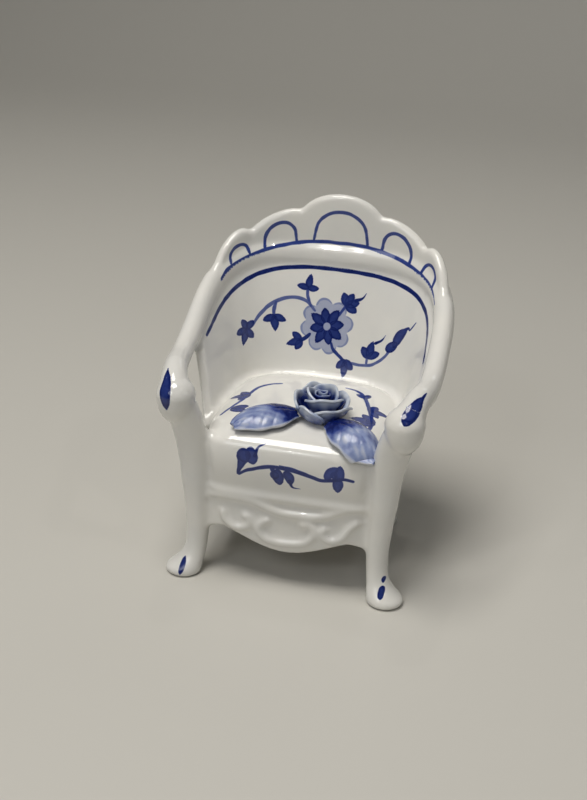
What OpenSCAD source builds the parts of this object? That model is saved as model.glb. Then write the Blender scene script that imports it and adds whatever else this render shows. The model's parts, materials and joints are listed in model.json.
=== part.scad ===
// Miniature barrel armchair in glazed porcelain, built up from cast and hand-pressed clay pieces
// that are luted together face to face. The chair faces -Y, +Z is up, and the origin lies on the
// surface it stands on, in the middle of its footprint.

/* [Rail: arms and back moulding] */
// Half width of the chair at the middle line of the arm rail
rail_half_w = 28.6; // [26:0.1:31]
// Distance from the origin back to the middle line of the rail
rail_back_d = 25.9; // [24:0.1:28]
// Depth that the arms' curve is struck with towards the front
rail_front_d = 34.5; // [32:0.1:38]
// Height of the rail along the arms
arm_z = 48.8; // [46:0.1:52]
// Height of the rail at the middle of the back
back_z = 64.8; // [60:0.1:68]
// Thickness of the rail from inside to outside
rail_w = 4.9; // [4:0.1:5.5]
// Height of the rail's section along the arms
arm_h = 5.2; // [4:0.1:6]
// Height of the rail's section at the middle of the back
roll_h = 7.2; // [5:0.1:7.5]

/* [Back] */
// Wall thickness of the barrel back
shell_t = 2.4; // [2:0.1:3]
// Thickness of the scalloped crest
crest_t = 2.4; // [2:0.1:3]
// Height of the chair at the tip of the crest's middle lobe
chair_h = 80; // [76:0.1:86]
// Height that the middle lobe rises over its notches
middle_rise = 4.8; // [3.5:0.1:6]
// Height that the lobes beside it rise over the line between their notches
side_rise = 2; // [1:0.1:3]
// Height that the end lobes rise over the line between their notches
end_rise = 4; // [1:0.1:4.5]

/* [Seat] */
// Half width of the seat between the front posts
seat_half_w = 21.4; // [20.5:0.1:21.8]
// Distance from the origin to the seat's front
seat_front_d = 22.4; // [21.5:0.1:23]
// Level where the aprons end and the upholstered part begins
seat_z = 23; // [21:0.1:25]
// Height of the middle of the domed seat
dome_z = 38.5; // [36:0.1:40]
// Wall thickness of the hollow seat
seat_wall = 2.2; // [1.8:0.1:2.8]
// Radius of the vent hole in the seat's floor
vent_r = 2.5; // [1.5:0.1:4]
// Radius of the bead between the aprons and the seat
bead_r = 0.9; // [0.5:0.1:1.2]

/* [Rose] */
// Place of the rose to the right of the middle
rose_x = 4.7; // [0:0.1:8]
// Place of the rose towards the back
rose_y = -10.2; // [-12:0.1:-4]
// Radius of the open rose
rose_r = 6.4; // [5:0.1:7]
// Height of the rose over the seat
rose_h = 7; // [5:0.1:8]
// Length of each leaf
leaf_len = 14; // [12:0.1:15]
// Width of each leaf
leaf_w = 8.6; // [6:0.1:9]
// Thickness of the petals and leaves
petal_t = 0.9; // [0.6:0.1:1.2]

/* [Hidden] */

// Squareness of the plan curves: 2 is an ellipse, more is squarer
rail_square = 3;
seat_square = 6;
barrel_square = 3.4;
// Plan of the barrel where it leaves the seat
barrel_half_w = 20.8;
barrel_front_d = 30;
barrel_back_d = 18;
// How late the barrel flares: the share of the flare grows as this power of the height
flare_power = 2;
// Height share of the rail's section where its top and bottom are flattened for the joints
flat_share = 0.82;
// The rail climbs between these two places, from the arms to the back
climb_from_y = -14;
climb_to_y = 29;
// Angles round the plan, from the right side: barrel's front edge, full height, arm joint, crest
shell_start = -31;
shell_full = 2;
arm_joint = 22;
crest_start = 23;
crest_notch_1 = 45;
crest_notch_2 = 69;
crest_end_z = 60.5;
crest_notch_1_z = 69.6;
crest_notch_2_z = chair_h - middle_rise;
arm_step = 6;
back_step = 4;
// The arms stop on this plane, where the hand rests are luted on
arm_end_y = -19.6;
hand_r = 4.8;
hand_at = [25, hand_r - rail_back_d - rail_w / 2, 44];
post_top_z = 40;
// Lower edges of the aprons
apron_t = 2.2;
apron_corner_z = 12.4;
apron_low_z = 8.4;
// Half spans of the front, rear and side aprons, and the middle of the side ones
front_apron_half = 19.6;
rear_apron_half = 18.6;
side_apron_half = 17.3;
side_apron_y = -2.3;
seat_bulge = 1.6;
cushion_edge_z = 33.5;
// Radius of the clay cord in the applied scrolls, and of each scroll's bend
scroll_r = 0.6;
scroll_bend = 1.9;
side_scroll_bend = 2.2;
small_scroll_bend = 0.8;
// Level that the rose's base is set into the seat at, and the height of that base
rose_z = dome_z - 0.7;
base_h = 1.2;
clear = 40;

// Stations of the front leg, from the sole up: height, middle x, middle y, half width, half depth
front_leg = [
    [0, 23.0, -21.9, 3.4, 3.4], [1.2, 23.1, -21.9, 3.9, 3.9], [2.7, 22.7, -21.5, 3.6, 3.7],
    [4.4, 21.8, -20.8, 2.8, 3.0], [7.5, 21.2, -20.2, 2.6, 2.7], [12.4, 21.0, -20.1, 2.7, 2.7],
    [18, 21.3, -20.2, 2.9, 2.8], [seat_z, 21.6, -20.5, 3.1, 2.9]
];
// Stations of the arm post, which carries the leg's line up to the hand rest
arm_post = [
    [seat_z, 21.6, -20.5, 3.1, 2.9], [28, 21.8, -20.8, 3.4, 2.9], [33, 22.2, -21.3, 3.7, 3.0],
    [37, 22.9, -21.9, 3.9, 3.1], [post_top_z, 23.7, -22.4, 4.0, 3.3]
];
// Stations of the rear leg, which splays outwards and back
rear_leg = [
    [0, 17.4, 14.2, 3.0, 3.1], [1.2, 17.5, 14.3, 3.4, 3.5], [2.7, 17.2, 13.9, 3.1, 3.2],
    [4.4, 16.8, 13.4, 2.6, 2.7], [9, 16.2, 12.6, 2.5, 2.6], [15, 15.8, 12.0, 2.7, 2.9],
    [seat_z, 15.5, 11.9, 3.0, 3.2]
];

function mix(a, b, t) = a + (b - a) * t;
function ease(t) = let (u = min(1, max(0, t))) u * u * (3 - 2 * u);

// Radius of a squared ellipse at angle phi
function plan_r(phi, half_w, front_d, back_d, square) =
    let (depth = sin(phi) < 0 ? front_d : back_d)
    pow(pow(abs(cos(phi)) / half_w, square) + pow(abs(sin(phi)) / depth, square), -1 / square);
function at(r, phi, z) = [r * cos(phi), r * sin(phi), z];

// The rail's middle line
function rail_r(phi) = plan_r(phi, rail_half_w, rail_front_d, rail_back_d, rail_square);
function rail_z(phi) =
    let (y = rail_r(phi) * sin(phi))
    mix(arm_z, back_z, ease((y - climb_from_y) / (climb_to_y - climb_from_y)));
function rail_h(phi) = mix(arm_h, roll_h, ease((rail_z(phi) - arm_z) / (back_z - arm_z)));

// The barrel's middle surface at angle phi and height z
function barrel_r(phi, z) =
    let (
        low = plan_r(phi, barrel_half_w, barrel_front_d, barrel_back_d, barrel_square),
        share = pow(max(0, z - seat_z) / (rail_z(phi) - seat_z), flare_power)
    )
    mix(low, rail_r(phi), share);

// Outside of the aprons: on the seat's plan at the front, flush with the barrel at the back
function apron_r(phi) = min(front_r(phi), barrel_r(phi, seat_z) + shell_t / 2);

// The upholstered seat: bulging at the front and sides, against the barrel elsewhere
function front_r(phi) = plan_r(phi, seat_half_w, seat_front_d, 60, seat_square);
function seat_bulge_at(z) = seat_bulge * sin(180 * (z - seat_z) / (dome_z - seat_z));
function cushion_r(phi, z) =
    min(front_r(phi) + seat_bulge_at(z), barrel_r(phi, z) - shell_t / 2);
function cushion_dome(share) = cushion_edge_z + (dome_z - cushion_edge_z) * sqrt(1 - pow(share, 4));
function cushion_z(x, y) =
    let (phi = atan2(y, x), share = norm([x, y]) / cushion_r(phi, cushion_edge_z))
    cushion_dome(min(1, share));

// Skins a row of closed rings, each with the same number of points, and caps both ends
module loft(rings) {
    count = len(rings[0]);
    last = len(rings) - 1;
    corners = [for (ring = rings) each ring];
    sides = [
        for (j = [0 : last - 1], i = [0 : count - 1])
        let (next = (i + 1) % count, low = j * count, high = low + count)
        each [[low + i, high + i, high + next], [low + i, high + next, low + next]]
    ];
    caps = [[for (i = [0 : count - 1]) i], [for (i = [count - 1 : -1 : 0]) last * count + i]];
    polyhedron(corners, concat(sides, caps), convexity = 6);
}

// A limb of oval rings through its stations
module limb(stations) {
    sides = 16;
    loft([
        for (s = stations)
        [
            for (i = [0 : sides - 1])
            let (a = 360 * i / sides)
            [s[1] + s[3] * cos(a), s[2] + s[4] * sin(a), s[0]]
        ]
    ]);
}

// A stretch of the rail between two plan angles
module rail(from, to, step) {
    sides = 16;
    steps = ceil((to - from) / step);
    loft([
        for (k = [0 : steps])
        let (phi = mix(from, to, k / steps), r = rail_r(phi), z = rail_z(phi), h = rail_h(phi) / 2)
        [
            for (i = [0 : sides - 1])
            let (a = -360 * i / sides, up = min(flat_share, max(-flat_share, sin(a))))
            at(r + rail_w / 2 * cos(a), phi, z + h * up)
        ]
    ]);
}

// The seat's block from the bead upwards, drawn in by inset all round and at the top
module seat_block(inset) {
    turns = 56;
    walls = [for (z = [seat_z : 3.5 : cushion_edge_z]) [1, z]];
    crown = [for (share = [0.99, 0.96, 0.9, 0.8, 0.62, 0.4, 0.15]) [share, cushion_dome(share)]];
    loft([
        for (level = concat(walls, crown))
        [
            for (i = [0 : turns - 1])
            let (phi = 360 * i / turns, wall_z = min(level[1], cushion_edge_z))
            at(level[0] * (cushion_r(phi, wall_z) - inset), phi, level[1] - (inset > 0 ? inset : 0))
        ]
    ]);
}

module posts() {
    for (side = [0, 1]) mirror([side, 0, 0]) limb(arm_post);
}

module seat_cushion() {
    color("whitesmoke")
    difference() {
        seat_block(0);
        translate([0, 0, -0.01]) seat_block(seat_wall);
        posts();
        on_rose() cylinder(h = clear, r = rose_r * 0.6, $fn = 48);
    }
}

// Closed plan outline of the aprons, drawn in by inset
function apron_outline(inset) =
    [for (i = [0 : 71]) let (phi = 5 * i, p = at(apron_r(phi) - inset, phi, 0)) [p.x, p.y]];

module seat_floor() {
    color("gainsboro")
    difference() {
        translate([0, 0, seat_z - seat_wall])
        linear_extrude(seat_wall) polygon(apron_outline(apron_t));
        translate([0, -2, seat_z - 2 * seat_wall]) cylinder(h = 3 * seat_wall, r = vent_r, $fn = 48);
        front_rear_legs();
    }
}

module front_rear_legs() {
    for (side = [0, 1]) mirror([side, 0, 0]) {
        limb(front_leg);
        limb(rear_leg);
    }
}

// The wall that the four aprons are parts of
module apron_wall() {
    difference() {
        linear_extrude(seat_z - 0.01) polygon(apron_outline(0));
        translate([0, 0, -1]) linear_extrude(seat_z + 1) polygon(apron_outline(apron_t));
    }
}

// Serpentine lower edge, as the outline of what remains above it
function serpentine(half_span, corner_z, low_z) = concat(
    [[half_span, seat_z + 1], [-half_span, seat_z + 1]],
    [
        for (k = [-8 : 8])
        let (u = k / 8, drop = pow(cos(90 * u), 1.5))
        [half_span * u, mix(corner_z, low_z, drop)]
    ]
);

module apron(span, corner_z, low_z, turn) {
    difference() {
        intersection() {
            apron_wall();
            rotate([0, 0, turn]) rotate([90, 0, 0]) linear_extrude(clear)
            polygon(serpentine(span, corner_z, low_z));
        }
        front_rear_legs();
    }
}

module front_apron() {
    color("whitesmoke") apron(front_apron_half, apron_corner_z, apron_low_z, 0);
}

module rear_apron() {
    color("whitesmoke") apron(rear_apron_half, apron_corner_z + 2, apron_low_z + 4, 180);
}

// The side aprons run between the front and rear legs, and end on the rear apron's edge
module side_apron(turn) {
    difference() {
        intersection() {
            apron_wall();
            translate([0, side_apron_y, 0]) rotate([0, 0, turn]) rotate([90, 0, 0])
            linear_extrude(clear)
            polygon(serpentine(side_apron_half, apron_corner_z + 1, apron_low_z + 2.5));
        }
        front_rear_legs();
        translate([-front_apron_half, -clear, 0]) cube([2 * front_apron_half, clear, clear]);
        translate([-rear_apron_half, 0, 0]) cube([2 * rear_apron_half, clear, clear]);
    }
}

module left_apron() {
    color("whitesmoke") side_apron(-90);
}

module right_apron() {
    color("whitesmoke") side_apron(90);
}

// Rounded bead laid along the joint between apron and seat, from post to post
module apron_bead() {
    color("white")
    difference() {
        loft([
            for (phi = [-134 : 4 : -46])
            let (r = apron_r(phi))
            [
                for (i = [0 : 7])
                let (a = -45 * i)
                at(r + bead_r * (0.6 + cos(a)), phi, seat_z - 0.6 + bead_r * sin(a))
            ]
        ]);
        translate([0, 0, seat_z]) seat_block(0);
        linear_extrude(clear) polygon(apron_outline(0));
        posts();
        front_rear_legs();
    }
}

// One applied C-scroll: part of a ring of round clay cord, lying on the front of the apron
module c_scroll(x, z, r, from, sweep) {
    y = -sqrt(1 - pow(abs(x) / (2.4 * seat_half_w), 2)) * seat_front_d - scroll_r;
    translate([x, y, z]) rotate([90, 0, 0]) rotate([0, 0, from])
    rotate_extrude(angle = sweep, $fn = 40) translate([r, 0]) circle(r = scroll_r, $fn = 16);
}

module centre_scrolls() {
    color("white")
    for (side = [0, 1]) mirror([side, 0, 0]) {
        c_scroll(3.4, 14.2, scroll_bend, -160, 290);
        c_scroll(0.9 + scroll_r, 18.6, small_scroll_bend, 20, 300);
    }
}

module left_scroll() {
    color("white") c_scroll(-11.2, 16.6, scroll_bend, -60, 300);
}

module right_scroll() {
    color("white") c_scroll(11.2, 16.6, scroll_bend, -60, 300);
}

module side_scrolls() {
    color("white")
    for (side = [0, 1]) mirror([side, 0, 0])
    translate([seat_half_w + scroll_r, -6, 17.4]) rotate([0, 90, 0])
    rotate_extrude(angle = 290, $fn = 40) translate([side_scroll_bend, 0])
    circle(r = scroll_r, $fn = 16);
}

// Height of the barrel's free edge: full under the rail, sweeping down to the seat towards the front
function shell_top(phi) =
    let (
        folded = phi > 90 ? 180 - phi : phi,
        full = rail_z(folded) - flat_share * rail_h(folded) / 2,
        share = ease((folded - shell_start) / (shell_full - shell_start))
    )
    mix(cushion_edge_z, full, share);

// One face of the barrel's wall at angle phi, from the seat up to the free edge
function shell_face(phi, offset, levels) =
    let (top = shell_top(phi))
    [for (i = [0 : levels]) let (z = mix(seat_z, top, i / levels)) at(barrel_r(phi, z) + offset, phi, z)];
function backwards(points) = [for (i = [len(points) - 1 : -1 : 0]) points[i]];

module back_shell() {
    levels = 7;
    steps = 60;
    color("whitesmoke")
    difference() {
        loft([
            for (k = [0 : steps])
            let (phi = mix(shell_start, 180 - shell_start, k / steps))
            concat(
                shell_face(phi, -shell_t / 2, levels),
                backwards(shell_face(phi, shell_t / 2, levels))
            )
        ]);
        posts();
    }
}

module back_roll() {
    color("white") rail(arm_joint, 180 - arm_joint, back_step);
}

// One lobe of the crest's edge, from one notch to the next
function lobe(t, from_z, to_z, rise) =
    mix(from_z, to_z, t) + rise * pow(max(0, 1 - pow(abs(2 * t - 1), 2.2)), 0.7);

// Height of the scalloped edge: two lobes each side of a middle lobe
function crest_top(phi) =
    let (
        f = phi > 90 ? 180 - phi : phi,
        end_t = (f - crest_start) / (crest_notch_1 - crest_start),
        side_t = (f - crest_notch_1) / (crest_notch_2 - crest_notch_1),
        middle_t = (f - crest_notch_2) / (180 - 2 * crest_notch_2)
    )
    f < crest_notch_1 ? lobe(end_t, crest_end_z, crest_notch_1_z, end_rise)
    : f < crest_notch_2 ? lobe(side_t, crest_notch_1_z, crest_notch_2_z, side_rise)
    : lobe(middle_t, crest_notch_2_z, crest_notch_2_z, middle_rise);

module crest() {
    steps = 100;
    half = crest_t / 2;
    color("white")
    loft([
        for (k = [0 : steps])
        let (
            phi = mix(crest_start, 180 - crest_start, k / steps),
            r = rail_r(phi),
            low = rail_z(phi) + flat_share * rail_h(phi) / 2,
            top = max(crest_top(phi), low + 0.5)
        )
        [
            at(r + half, phi, low), at(r + half, phi, top - 0.3), at(r + half - 0.3, phi, top),
            at(r - half + 0.3, phi, top), at(r - half, phi, top - 0.3), at(r - half, phi, low)
        ]
    ]);
}

module arm() {
    intersection() {
        rail(-44, arm_joint, arm_step);
        translate([0, arm_end_y, 0]) cube([clear, 2 * clear, 2 * clear]);
    }
}

module right_arm() {
    color("white") arm();
}

module left_arm() {
    color("white") mirror([1, 0, 0]) arm();
}

// Bulb that ends the arm, flat where it meets the arm and where it sits on the post
module hand_rest() {
    intersection() {
        translate(hand_at) sphere(r = hand_r, $fn = 48);
        translate([0, arm_end_y - clear, post_top_z]) cube([clear, clear, clear]);
    }
}

module right_hand_rest() {
    color("white") hand_rest();
}

module left_hand_rest() {
    color("white") mirror([1, 0, 0]) hand_rest();
}

module right_arm_post() {
    color("whitesmoke") limb(arm_post);
}

module left_arm_post() {
    color("whitesmoke") mirror([1, 0, 0]) limb(arm_post);
}

module front_right_leg() {
    color("whitesmoke") limb(front_leg);
}

module front_left_leg() {
    color("whitesmoke") mirror([1, 0, 0]) limb(front_leg);
}

module rear_right_leg() {
    color("whitesmoke") limb(rear_leg);
}

module rear_left_leg() {
    color("whitesmoke") mirror([1, 0, 0]) limb(rear_leg);
}

// The rose is put together on its base: a heart, three inner petals and five outer ones
module on_rose() {
    translate([rose_x, rose_y, rose_z]) children();
}

module rose_base() {
    color("lightsteelblue") on_rose()
    cylinder(h = base_h, r1 = rose_r * 0.58, r2 = rose_r * 0.5, $fn = 48);
}

module rose_heart() {
    color("slategray")
    on_rose() translate([0, 0, base_h])
    difference() {
        cylinder(h = rose_h - 1.6, r1 = 1.2, r2 = 1.6, $fn = 32);
        translate([0, 0, rose_h - 3.2]) cylinder(h = 3, r1 = 0.3, r2 = 1.1, $fn = 32);
    }
}

// A cupped petal: a sector of a conical wall that opens outwards
module petal(low_r, high_r, height, from, sweep) {
    on_rose() translate([0, 0, base_h]) rotate([0, 0, from])
    rotate_extrude(angle = sweep, $fn = 48)
    polygon([
        [low_r, 0], [low_r + petal_t, 0], [mix(low_r, high_r, 0.7) + petal_t, height * 0.5],
        [high_r, height], [high_r - petal_t, height], [mix(low_r, high_r, 0.7), height * 0.5]
    ]);
}

module inner_petal(i) {
    color("lightsteelblue") petal(1.3, 3.6, rose_h - 1.6, 120 * i + 20, 114);
}

module outer_petal(i) {
    color("lightblue") petal(2.25, rose_r, rose_h - 2.8, 72 * i, 68);
}

// Section of a leaf, as shares of its half width and of its thickness
leaf_section = [
    [-1, -0.7], [-0.5, 0.1], [0, 0.35], [0.5, 0.1], [1, -0.7],
    [1, 0.1], [0.5, 1], [0, 1.3], [-0.5, 1], [-1, 0.1]
];

// A leaf from its root to its pointed tip, following the seat, with a raised middle
module leaf(root, heading, len) {
    stations = 10;
    color("midnightblue")
    difference() {
        loft([
            for (k = [0 : stations])
            let (
                u = k / stations,
                half = max(0.15, leaf_w / 2 * pow(sin(180 * pow(0.04 + 0.94 * u, 0.85)), 0.8)),
                along = len * u,
                x = root.x + along * cos(heading),
                y = root.y + along * sin(heading),
                z = cushion_z(x, y) + 0.9
            )
            [
                for (p = leaf_section)
                [x + p.x * half * sin(heading), y - p.x * half * cos(heading), z + p.y * petal_t]
            ]
        ]);
        seat_block(0);
        posts();
    }
}

module left_leaf() {
    leaf([rose_x - 5.3, rose_y - 3.1], -149, leaf_len);
}

module right_leaf() {
    leaf([rose_x + 3.2, rose_y - 5.6], -38, leaf_len - 1.6);
}

seat_cushion();
seat_floor();
front_apron();
rear_apron();
left_apron();
right_apron();
apron_bead();
centre_scrolls();
left_scroll();
right_scroll();
side_scrolls();
back_shell();
back_roll();
crest();
left_arm();
right_arm();
left_hand_rest();
right_hand_rest();
left_arm_post();
right_arm_post();
front_left_leg();
front_right_leg();
rear_left_leg();
rear_right_leg();
rose_base();
rose_heart();
for (i = [1 : 3]) inner_petal(i);
for (i = [1 : 5]) outer_petal(i);
left_leaf();
right_leaf();
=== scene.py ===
"""Blue-painted porcelain armchair with a pressed rose on its seat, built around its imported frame.

The clay pieces are shaped one by one on a bench that works in millimetres, luted together in one
firing that rounds their joints, parted again along those joints, painted and glazed.
"""

import json
import logging
import math
from collections.abc import Iterable, Sequence
from dataclasses import dataclass, field
from enum import Enum

import bpy
import numpy as np
from mathutils import Matrix, Vector

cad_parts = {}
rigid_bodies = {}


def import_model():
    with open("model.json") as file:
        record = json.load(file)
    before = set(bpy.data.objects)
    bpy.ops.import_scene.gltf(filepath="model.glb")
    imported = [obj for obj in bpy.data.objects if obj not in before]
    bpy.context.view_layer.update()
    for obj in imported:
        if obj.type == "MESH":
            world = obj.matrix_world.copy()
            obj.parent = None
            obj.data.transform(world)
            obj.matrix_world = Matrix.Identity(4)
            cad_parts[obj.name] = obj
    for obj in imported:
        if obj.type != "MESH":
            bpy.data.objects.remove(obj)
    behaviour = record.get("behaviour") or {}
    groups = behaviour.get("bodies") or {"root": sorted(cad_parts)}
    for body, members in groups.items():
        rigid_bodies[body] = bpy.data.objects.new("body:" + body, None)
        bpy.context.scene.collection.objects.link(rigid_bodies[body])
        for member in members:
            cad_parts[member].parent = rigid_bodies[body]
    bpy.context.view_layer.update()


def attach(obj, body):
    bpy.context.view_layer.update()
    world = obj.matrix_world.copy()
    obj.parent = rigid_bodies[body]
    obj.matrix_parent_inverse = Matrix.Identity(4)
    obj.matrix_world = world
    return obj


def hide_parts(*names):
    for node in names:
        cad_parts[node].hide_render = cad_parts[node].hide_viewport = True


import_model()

LOG = logging.getLogger("porcelain_chair")
MM = 0.001
FULL_TURN = 360
PALE_TONE = 0.4
Point2 = tuple[float, float]
Point3 = tuple[float, float, float]
Number = np.ndarray | float


class Slot(Enum):
    """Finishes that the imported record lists."""

    PORCELAIN = "porcelain"
    ROSE = "rose_glaze"
    LEAF = "leaf_glaze"
    BISQUE = "bisque"


class Touch(Enum):
    """Ways a loaded brush is set down."""

    LINE = "even line with soft ends"
    BELLY = "leaf or petal, widest before its middle"
    TAIL = "full at its start and drawn out thin"


def mix(low: Number, high: Number, share: Number) -> Number:
    """Returns the value that lies share of the way from low to high."""
    return low + (high - low) * share


def ease(share: Number) -> np.ndarray:
    """Returns share held between 0 and 1, with a soft start and end."""
    held = np.clip(share, 0, 1)
    return held * held * (3 - 2 * held)


def smooth_path(points: Sequence[Sequence[float]], per_span: int) -> np.ndarray:
    """Draws a smooth curve through points.

    Args:
        points: The points that the curve passes, of any dimension.
        per_span: Steps between two of them.

    Returns:
        The curve's points, one row each.
    """
    given = np.array(points, float)
    if len(given) < 3:
        shares = np.linspace(0, 1, per_span * max(1, len(given) - 1) + 1)[:, None]
        return mix(given[0], given[-1], shares)
    padded = np.vstack([2 * given[0] - given[1], given, 2 * given[-1] - given[-2]])
    rows = []
    for before, start, end, after in zip(padded, padded[1:], padded[2:], padded[3:]):
        for t in np.arange(per_span) / per_span:
            bend = 2 * start + (end - before) * t + (2 * before - 5 * start + 4 * end - after) * t**2
            rows.append(0.5 * (bend + (3 * start - before - 3 * end + after) * t**3))
    return np.vstack(rows + [given[-1]])


class Bench:
    """Hand moves that every sub-assembly is made with."""

    @staticmethod
    def pick(*pieces: bpy.types.Object) -> None:
        """Selects only these pieces and makes the first one active."""
        if bpy.context.object and bpy.context.object.mode != "OBJECT":
            bpy.ops.object.mode_set(mode="OBJECT")
        bpy.ops.object.select_all(action="DESELECT")
        for piece in pieces:
            piece.select_set(True)
        if pieces:
            bpy.context.view_layer.objects.active = pieces[0]

    @staticmethod
    def close(piece: bpy.types.Object) -> None:
        """Merges a piece's doubles, fills its open ends and turns its faces outwards."""
        Bench.pick(piece)
        bpy.ops.object.mode_set(mode="EDIT")
        bpy.ops.mesh.select_all(action="SELECT")
        bpy.ops.mesh.remove_doubles(threshold=0.002)
        bpy.ops.mesh.select_all(action="DESELECT")
        bpy.ops.mesh.select_non_manifold(extend=False)
        bpy.ops.mesh.fill_holes(sides=0)
        bpy.ops.mesh.select_all(action="SELECT")
        bpy.ops.mesh.normals_make_consistent(inside=False)
        bpy.ops.object.mode_set(mode="OBJECT")

    @staticmethod
    def sheet(name: str, rows: np.ndarray) -> bpy.types.Object:
        """Lays a grid and pushes it into shape.

        Args:
            name: Name of the piece.
            rows: Places of the grid's corners, as rows, columns and coordinates.

        Returns:
            The shaped sheet.
        """
        Bench.pick()
        bpy.ops.mesh.primitive_grid_add(
            x_subdivisions=rows.shape[1] - 1, y_subdivisions=rows.shape[0] - 1, size=1
        )
        piece = bpy.context.object
        piece.name = name
        piece.data.vertices.foreach_set("co", rows.reshape(-1).astype(np.float32))
        piece.data.update()
        return piece

    @staticmethod
    def skin(name: str, rings: np.ndarray) -> bpy.types.Object:
        """Skins closed rings into one closed solid.

        Args:
            name: Name of the piece.
            rings: Places of the rings' corners, as rings, corners and coordinates.

        Returns:
            The solid, capped at both ends.
        """
        piece = Bench.sheet(name, np.concatenate([rings, rings[:, :1]], axis=1))
        Bench.close(piece)
        return piece

    @staticmethod
    def limb(name: str, stations: Sequence[Sequence[float]], sides: int = 40) -> bpy.types.Object:
        """Draws a limb out of a disc, ring by ring.

        Args:
            name: Name of the piece.
            stations: Height, middle x and y, half width and half depth of the limb's sections.
            sides: Corners of one section.

        Returns:
            The closed limb.
        """
        path = smooth_path(stations, 4)
        z, x, y, half_w, half_d = path[0]
        Bench.pick()
        bpy.ops.mesh.primitive_circle_add(vertices=sides, radius=1, fill_type="NGON", location=(x, y, z))
        piece = bpy.context.object
        piece.name = name
        bpy.ops.object.transform_apply(location=True, rotation=True, scale=True)
        bpy.ops.object.mode_set(mode="EDIT")
        bpy.ops.mesh.select_all(action="SELECT")
        bpy.ops.transform.resize(value=(half_w, half_d, 1), center_override=(x, y, z))
        for lower, upper in zip(path, path[1:]):
            step = (upper[1] - lower[1], upper[2] - lower[2], upper[0] - lower[0])
            bpy.ops.mesh.extrude_region_move(TRANSFORM_OT_translate={"value": step})
            bpy.ops.transform.resize(
                value=(upper[3] / lower[3], upper[4] / lower[4], 1),
                center_override=(upper[1], upper[2], upper[0]),
            )
        bpy.ops.object.mode_set(mode="OBJECT")
        Bench.close(piece)
        return piece

    @staticmethod
    def sweep(name: str, stations: np.ndarray, sides: int = 28) -> bpy.types.Object:
        """Runs an oval section along a path.

        Args:
            name: Name of the piece.
            stations: Rows of x, y, z, half width and half height.
            sides: Corners of the section.

        Returns:
            The closed solid.
        """
        along = np.gradient(stations[:, :3], axis=0)
        along /= np.linalg.norm(along, axis=1, keepdims=True)
        side = np.cross(along, (0, 0, 1))
        side /= np.linalg.norm(side, axis=1, keepdims=True)
        up = np.cross(side, along)
        turn = np.linspace(0, 2 * math.pi, sides, endpoint=False)
        across = side[:, None] * (stations[:, 3, None] * np.cos(turn))[..., None]
        rise = up[:, None] * (stations[:, 4, None] * np.sin(turn))[..., None]
        return Bench.skin(name, stations[:, None, :3] + across + rise)

    @staticmethod
    def cord(name: str, route: np.ndarray, radius: float, end_share: float = 0.45) -> bpy.types.Object:
        """Rolls a round cord of clay along a route, thinner at its ends, and returns it."""
        turn = np.linspace(0, 2 * math.pi, 12, endpoint=False)
        along = np.gradient(route, axis=0)
        along /= np.linalg.norm(along, axis=1, keepdims=True)
        out = np.tile((0.0, -1.0, 0.0), (len(route), 1))
        side = np.cross(along, out)
        side /= np.linalg.norm(side, axis=1, keepdims=True)
        out = np.cross(side, along)
        ends = np.ones(len(route))
        ends[[0, -1]] = end_share
        turn = turn[None, :, None]
        ring = side[:, None] * np.cos(turn) + out[:, None] * np.sin(turn)
        return Bench.skin(name, route[:, None] + ring * radius * ends[:, None, None])

    @staticmethod
    def modify(piece: bpy.types.Object, kind: str, **settings: object) -> None:
        """Adds one modifier to a piece, sets it and applies it."""
        Bench.pick(piece)
        bpy.ops.object.modifier_add(type=kind)
        modifier = piece.modifiers[-1]
        for setting, value in settings.items():
            setattr(modifier, setting, value)
        bpy.ops.object.modifier_apply(modifier=modifier.name)

    @staticmethod
    def copy(piece: bpy.types.Object, name: str, mirrored: bool = False) -> bpy.types.Object:
        """Copies a piece.

        Args:
            piece: The piece to copy.
            name: Name of the copy.
            mirrored: Whether the copy is the other hand, across the chair's middle.

        Returns:
            The copy, with its own mesh.
        """
        Bench.pick(piece)
        bpy.ops.object.duplicate()
        twin = bpy.context.object
        twin.name = name
        if mirrored:
            bpy.ops.object.mode_set(mode="EDIT")
            bpy.ops.mesh.select_all(action="SELECT")
            bpy.ops.transform.resize(value=(-1, 1, 1), center_override=(0, 0, 0))
            bpy.ops.mesh.normals_make_consistent(inside=False)
            bpy.ops.object.mode_set(mode="OBJECT")
        return twin

    @staticmethod
    def corners(piece: bpy.types.Object) -> np.ndarray:
        """Returns the places of a piece's corners."""
        places = np.zeros(len(piece.data.vertices) * 3, np.float32)
        piece.data.vertices.foreach_get("co", places)
        return places.reshape(-1, 3).astype(float)

    @staticmethod
    def normals(piece: bpy.types.Object) -> np.ndarray:
        """Returns the outward directions at a piece's corners."""
        ways = np.zeros(len(piece.data.vertices) * 3, np.float32)
        piece.data.vertex_normals.foreach_get("vector", ways)
        return ways.reshape(-1, 3).astype(float)

    @staticmethod
    def stain(piece: bpy.types.Object, tone: np.ndarray) -> None:
        """Writes how much cobalt lies on each corner of a piece."""
        layer = piece.data.attributes.new("cobalt", "FLOAT", "POINT")
        layer.data.foreach_set("value", tone.astype(np.float32))

    @staticmethod
    def deliver(piece: bpy.types.Object, node: str, slot: Slot, glaze: bpy.types.Material) -> None:
        """Brings a finished piece from the bench to the frame.

        Args:
            piece: The finished piece, in millimetres.
            node: The CAD node that it stands for.
            slot: The record's finish; not used.
            glaze: The material that it is dressed in.
        """
        piece.name = node + "_piece"
        piece.data.name = piece.name
        Bench.pick(piece)
        piece.scale = (MM, MM, MM)
        bpy.ops.object.transform_apply(location=True, rotation=True, scale=True)
        piece.data.materials.clear()
        piece.data.materials.append(glaze)
        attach(piece, "root")
        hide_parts(node)
        LOG.info("%s: %d faces", piece.name, len(piece.data.polygons))


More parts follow.
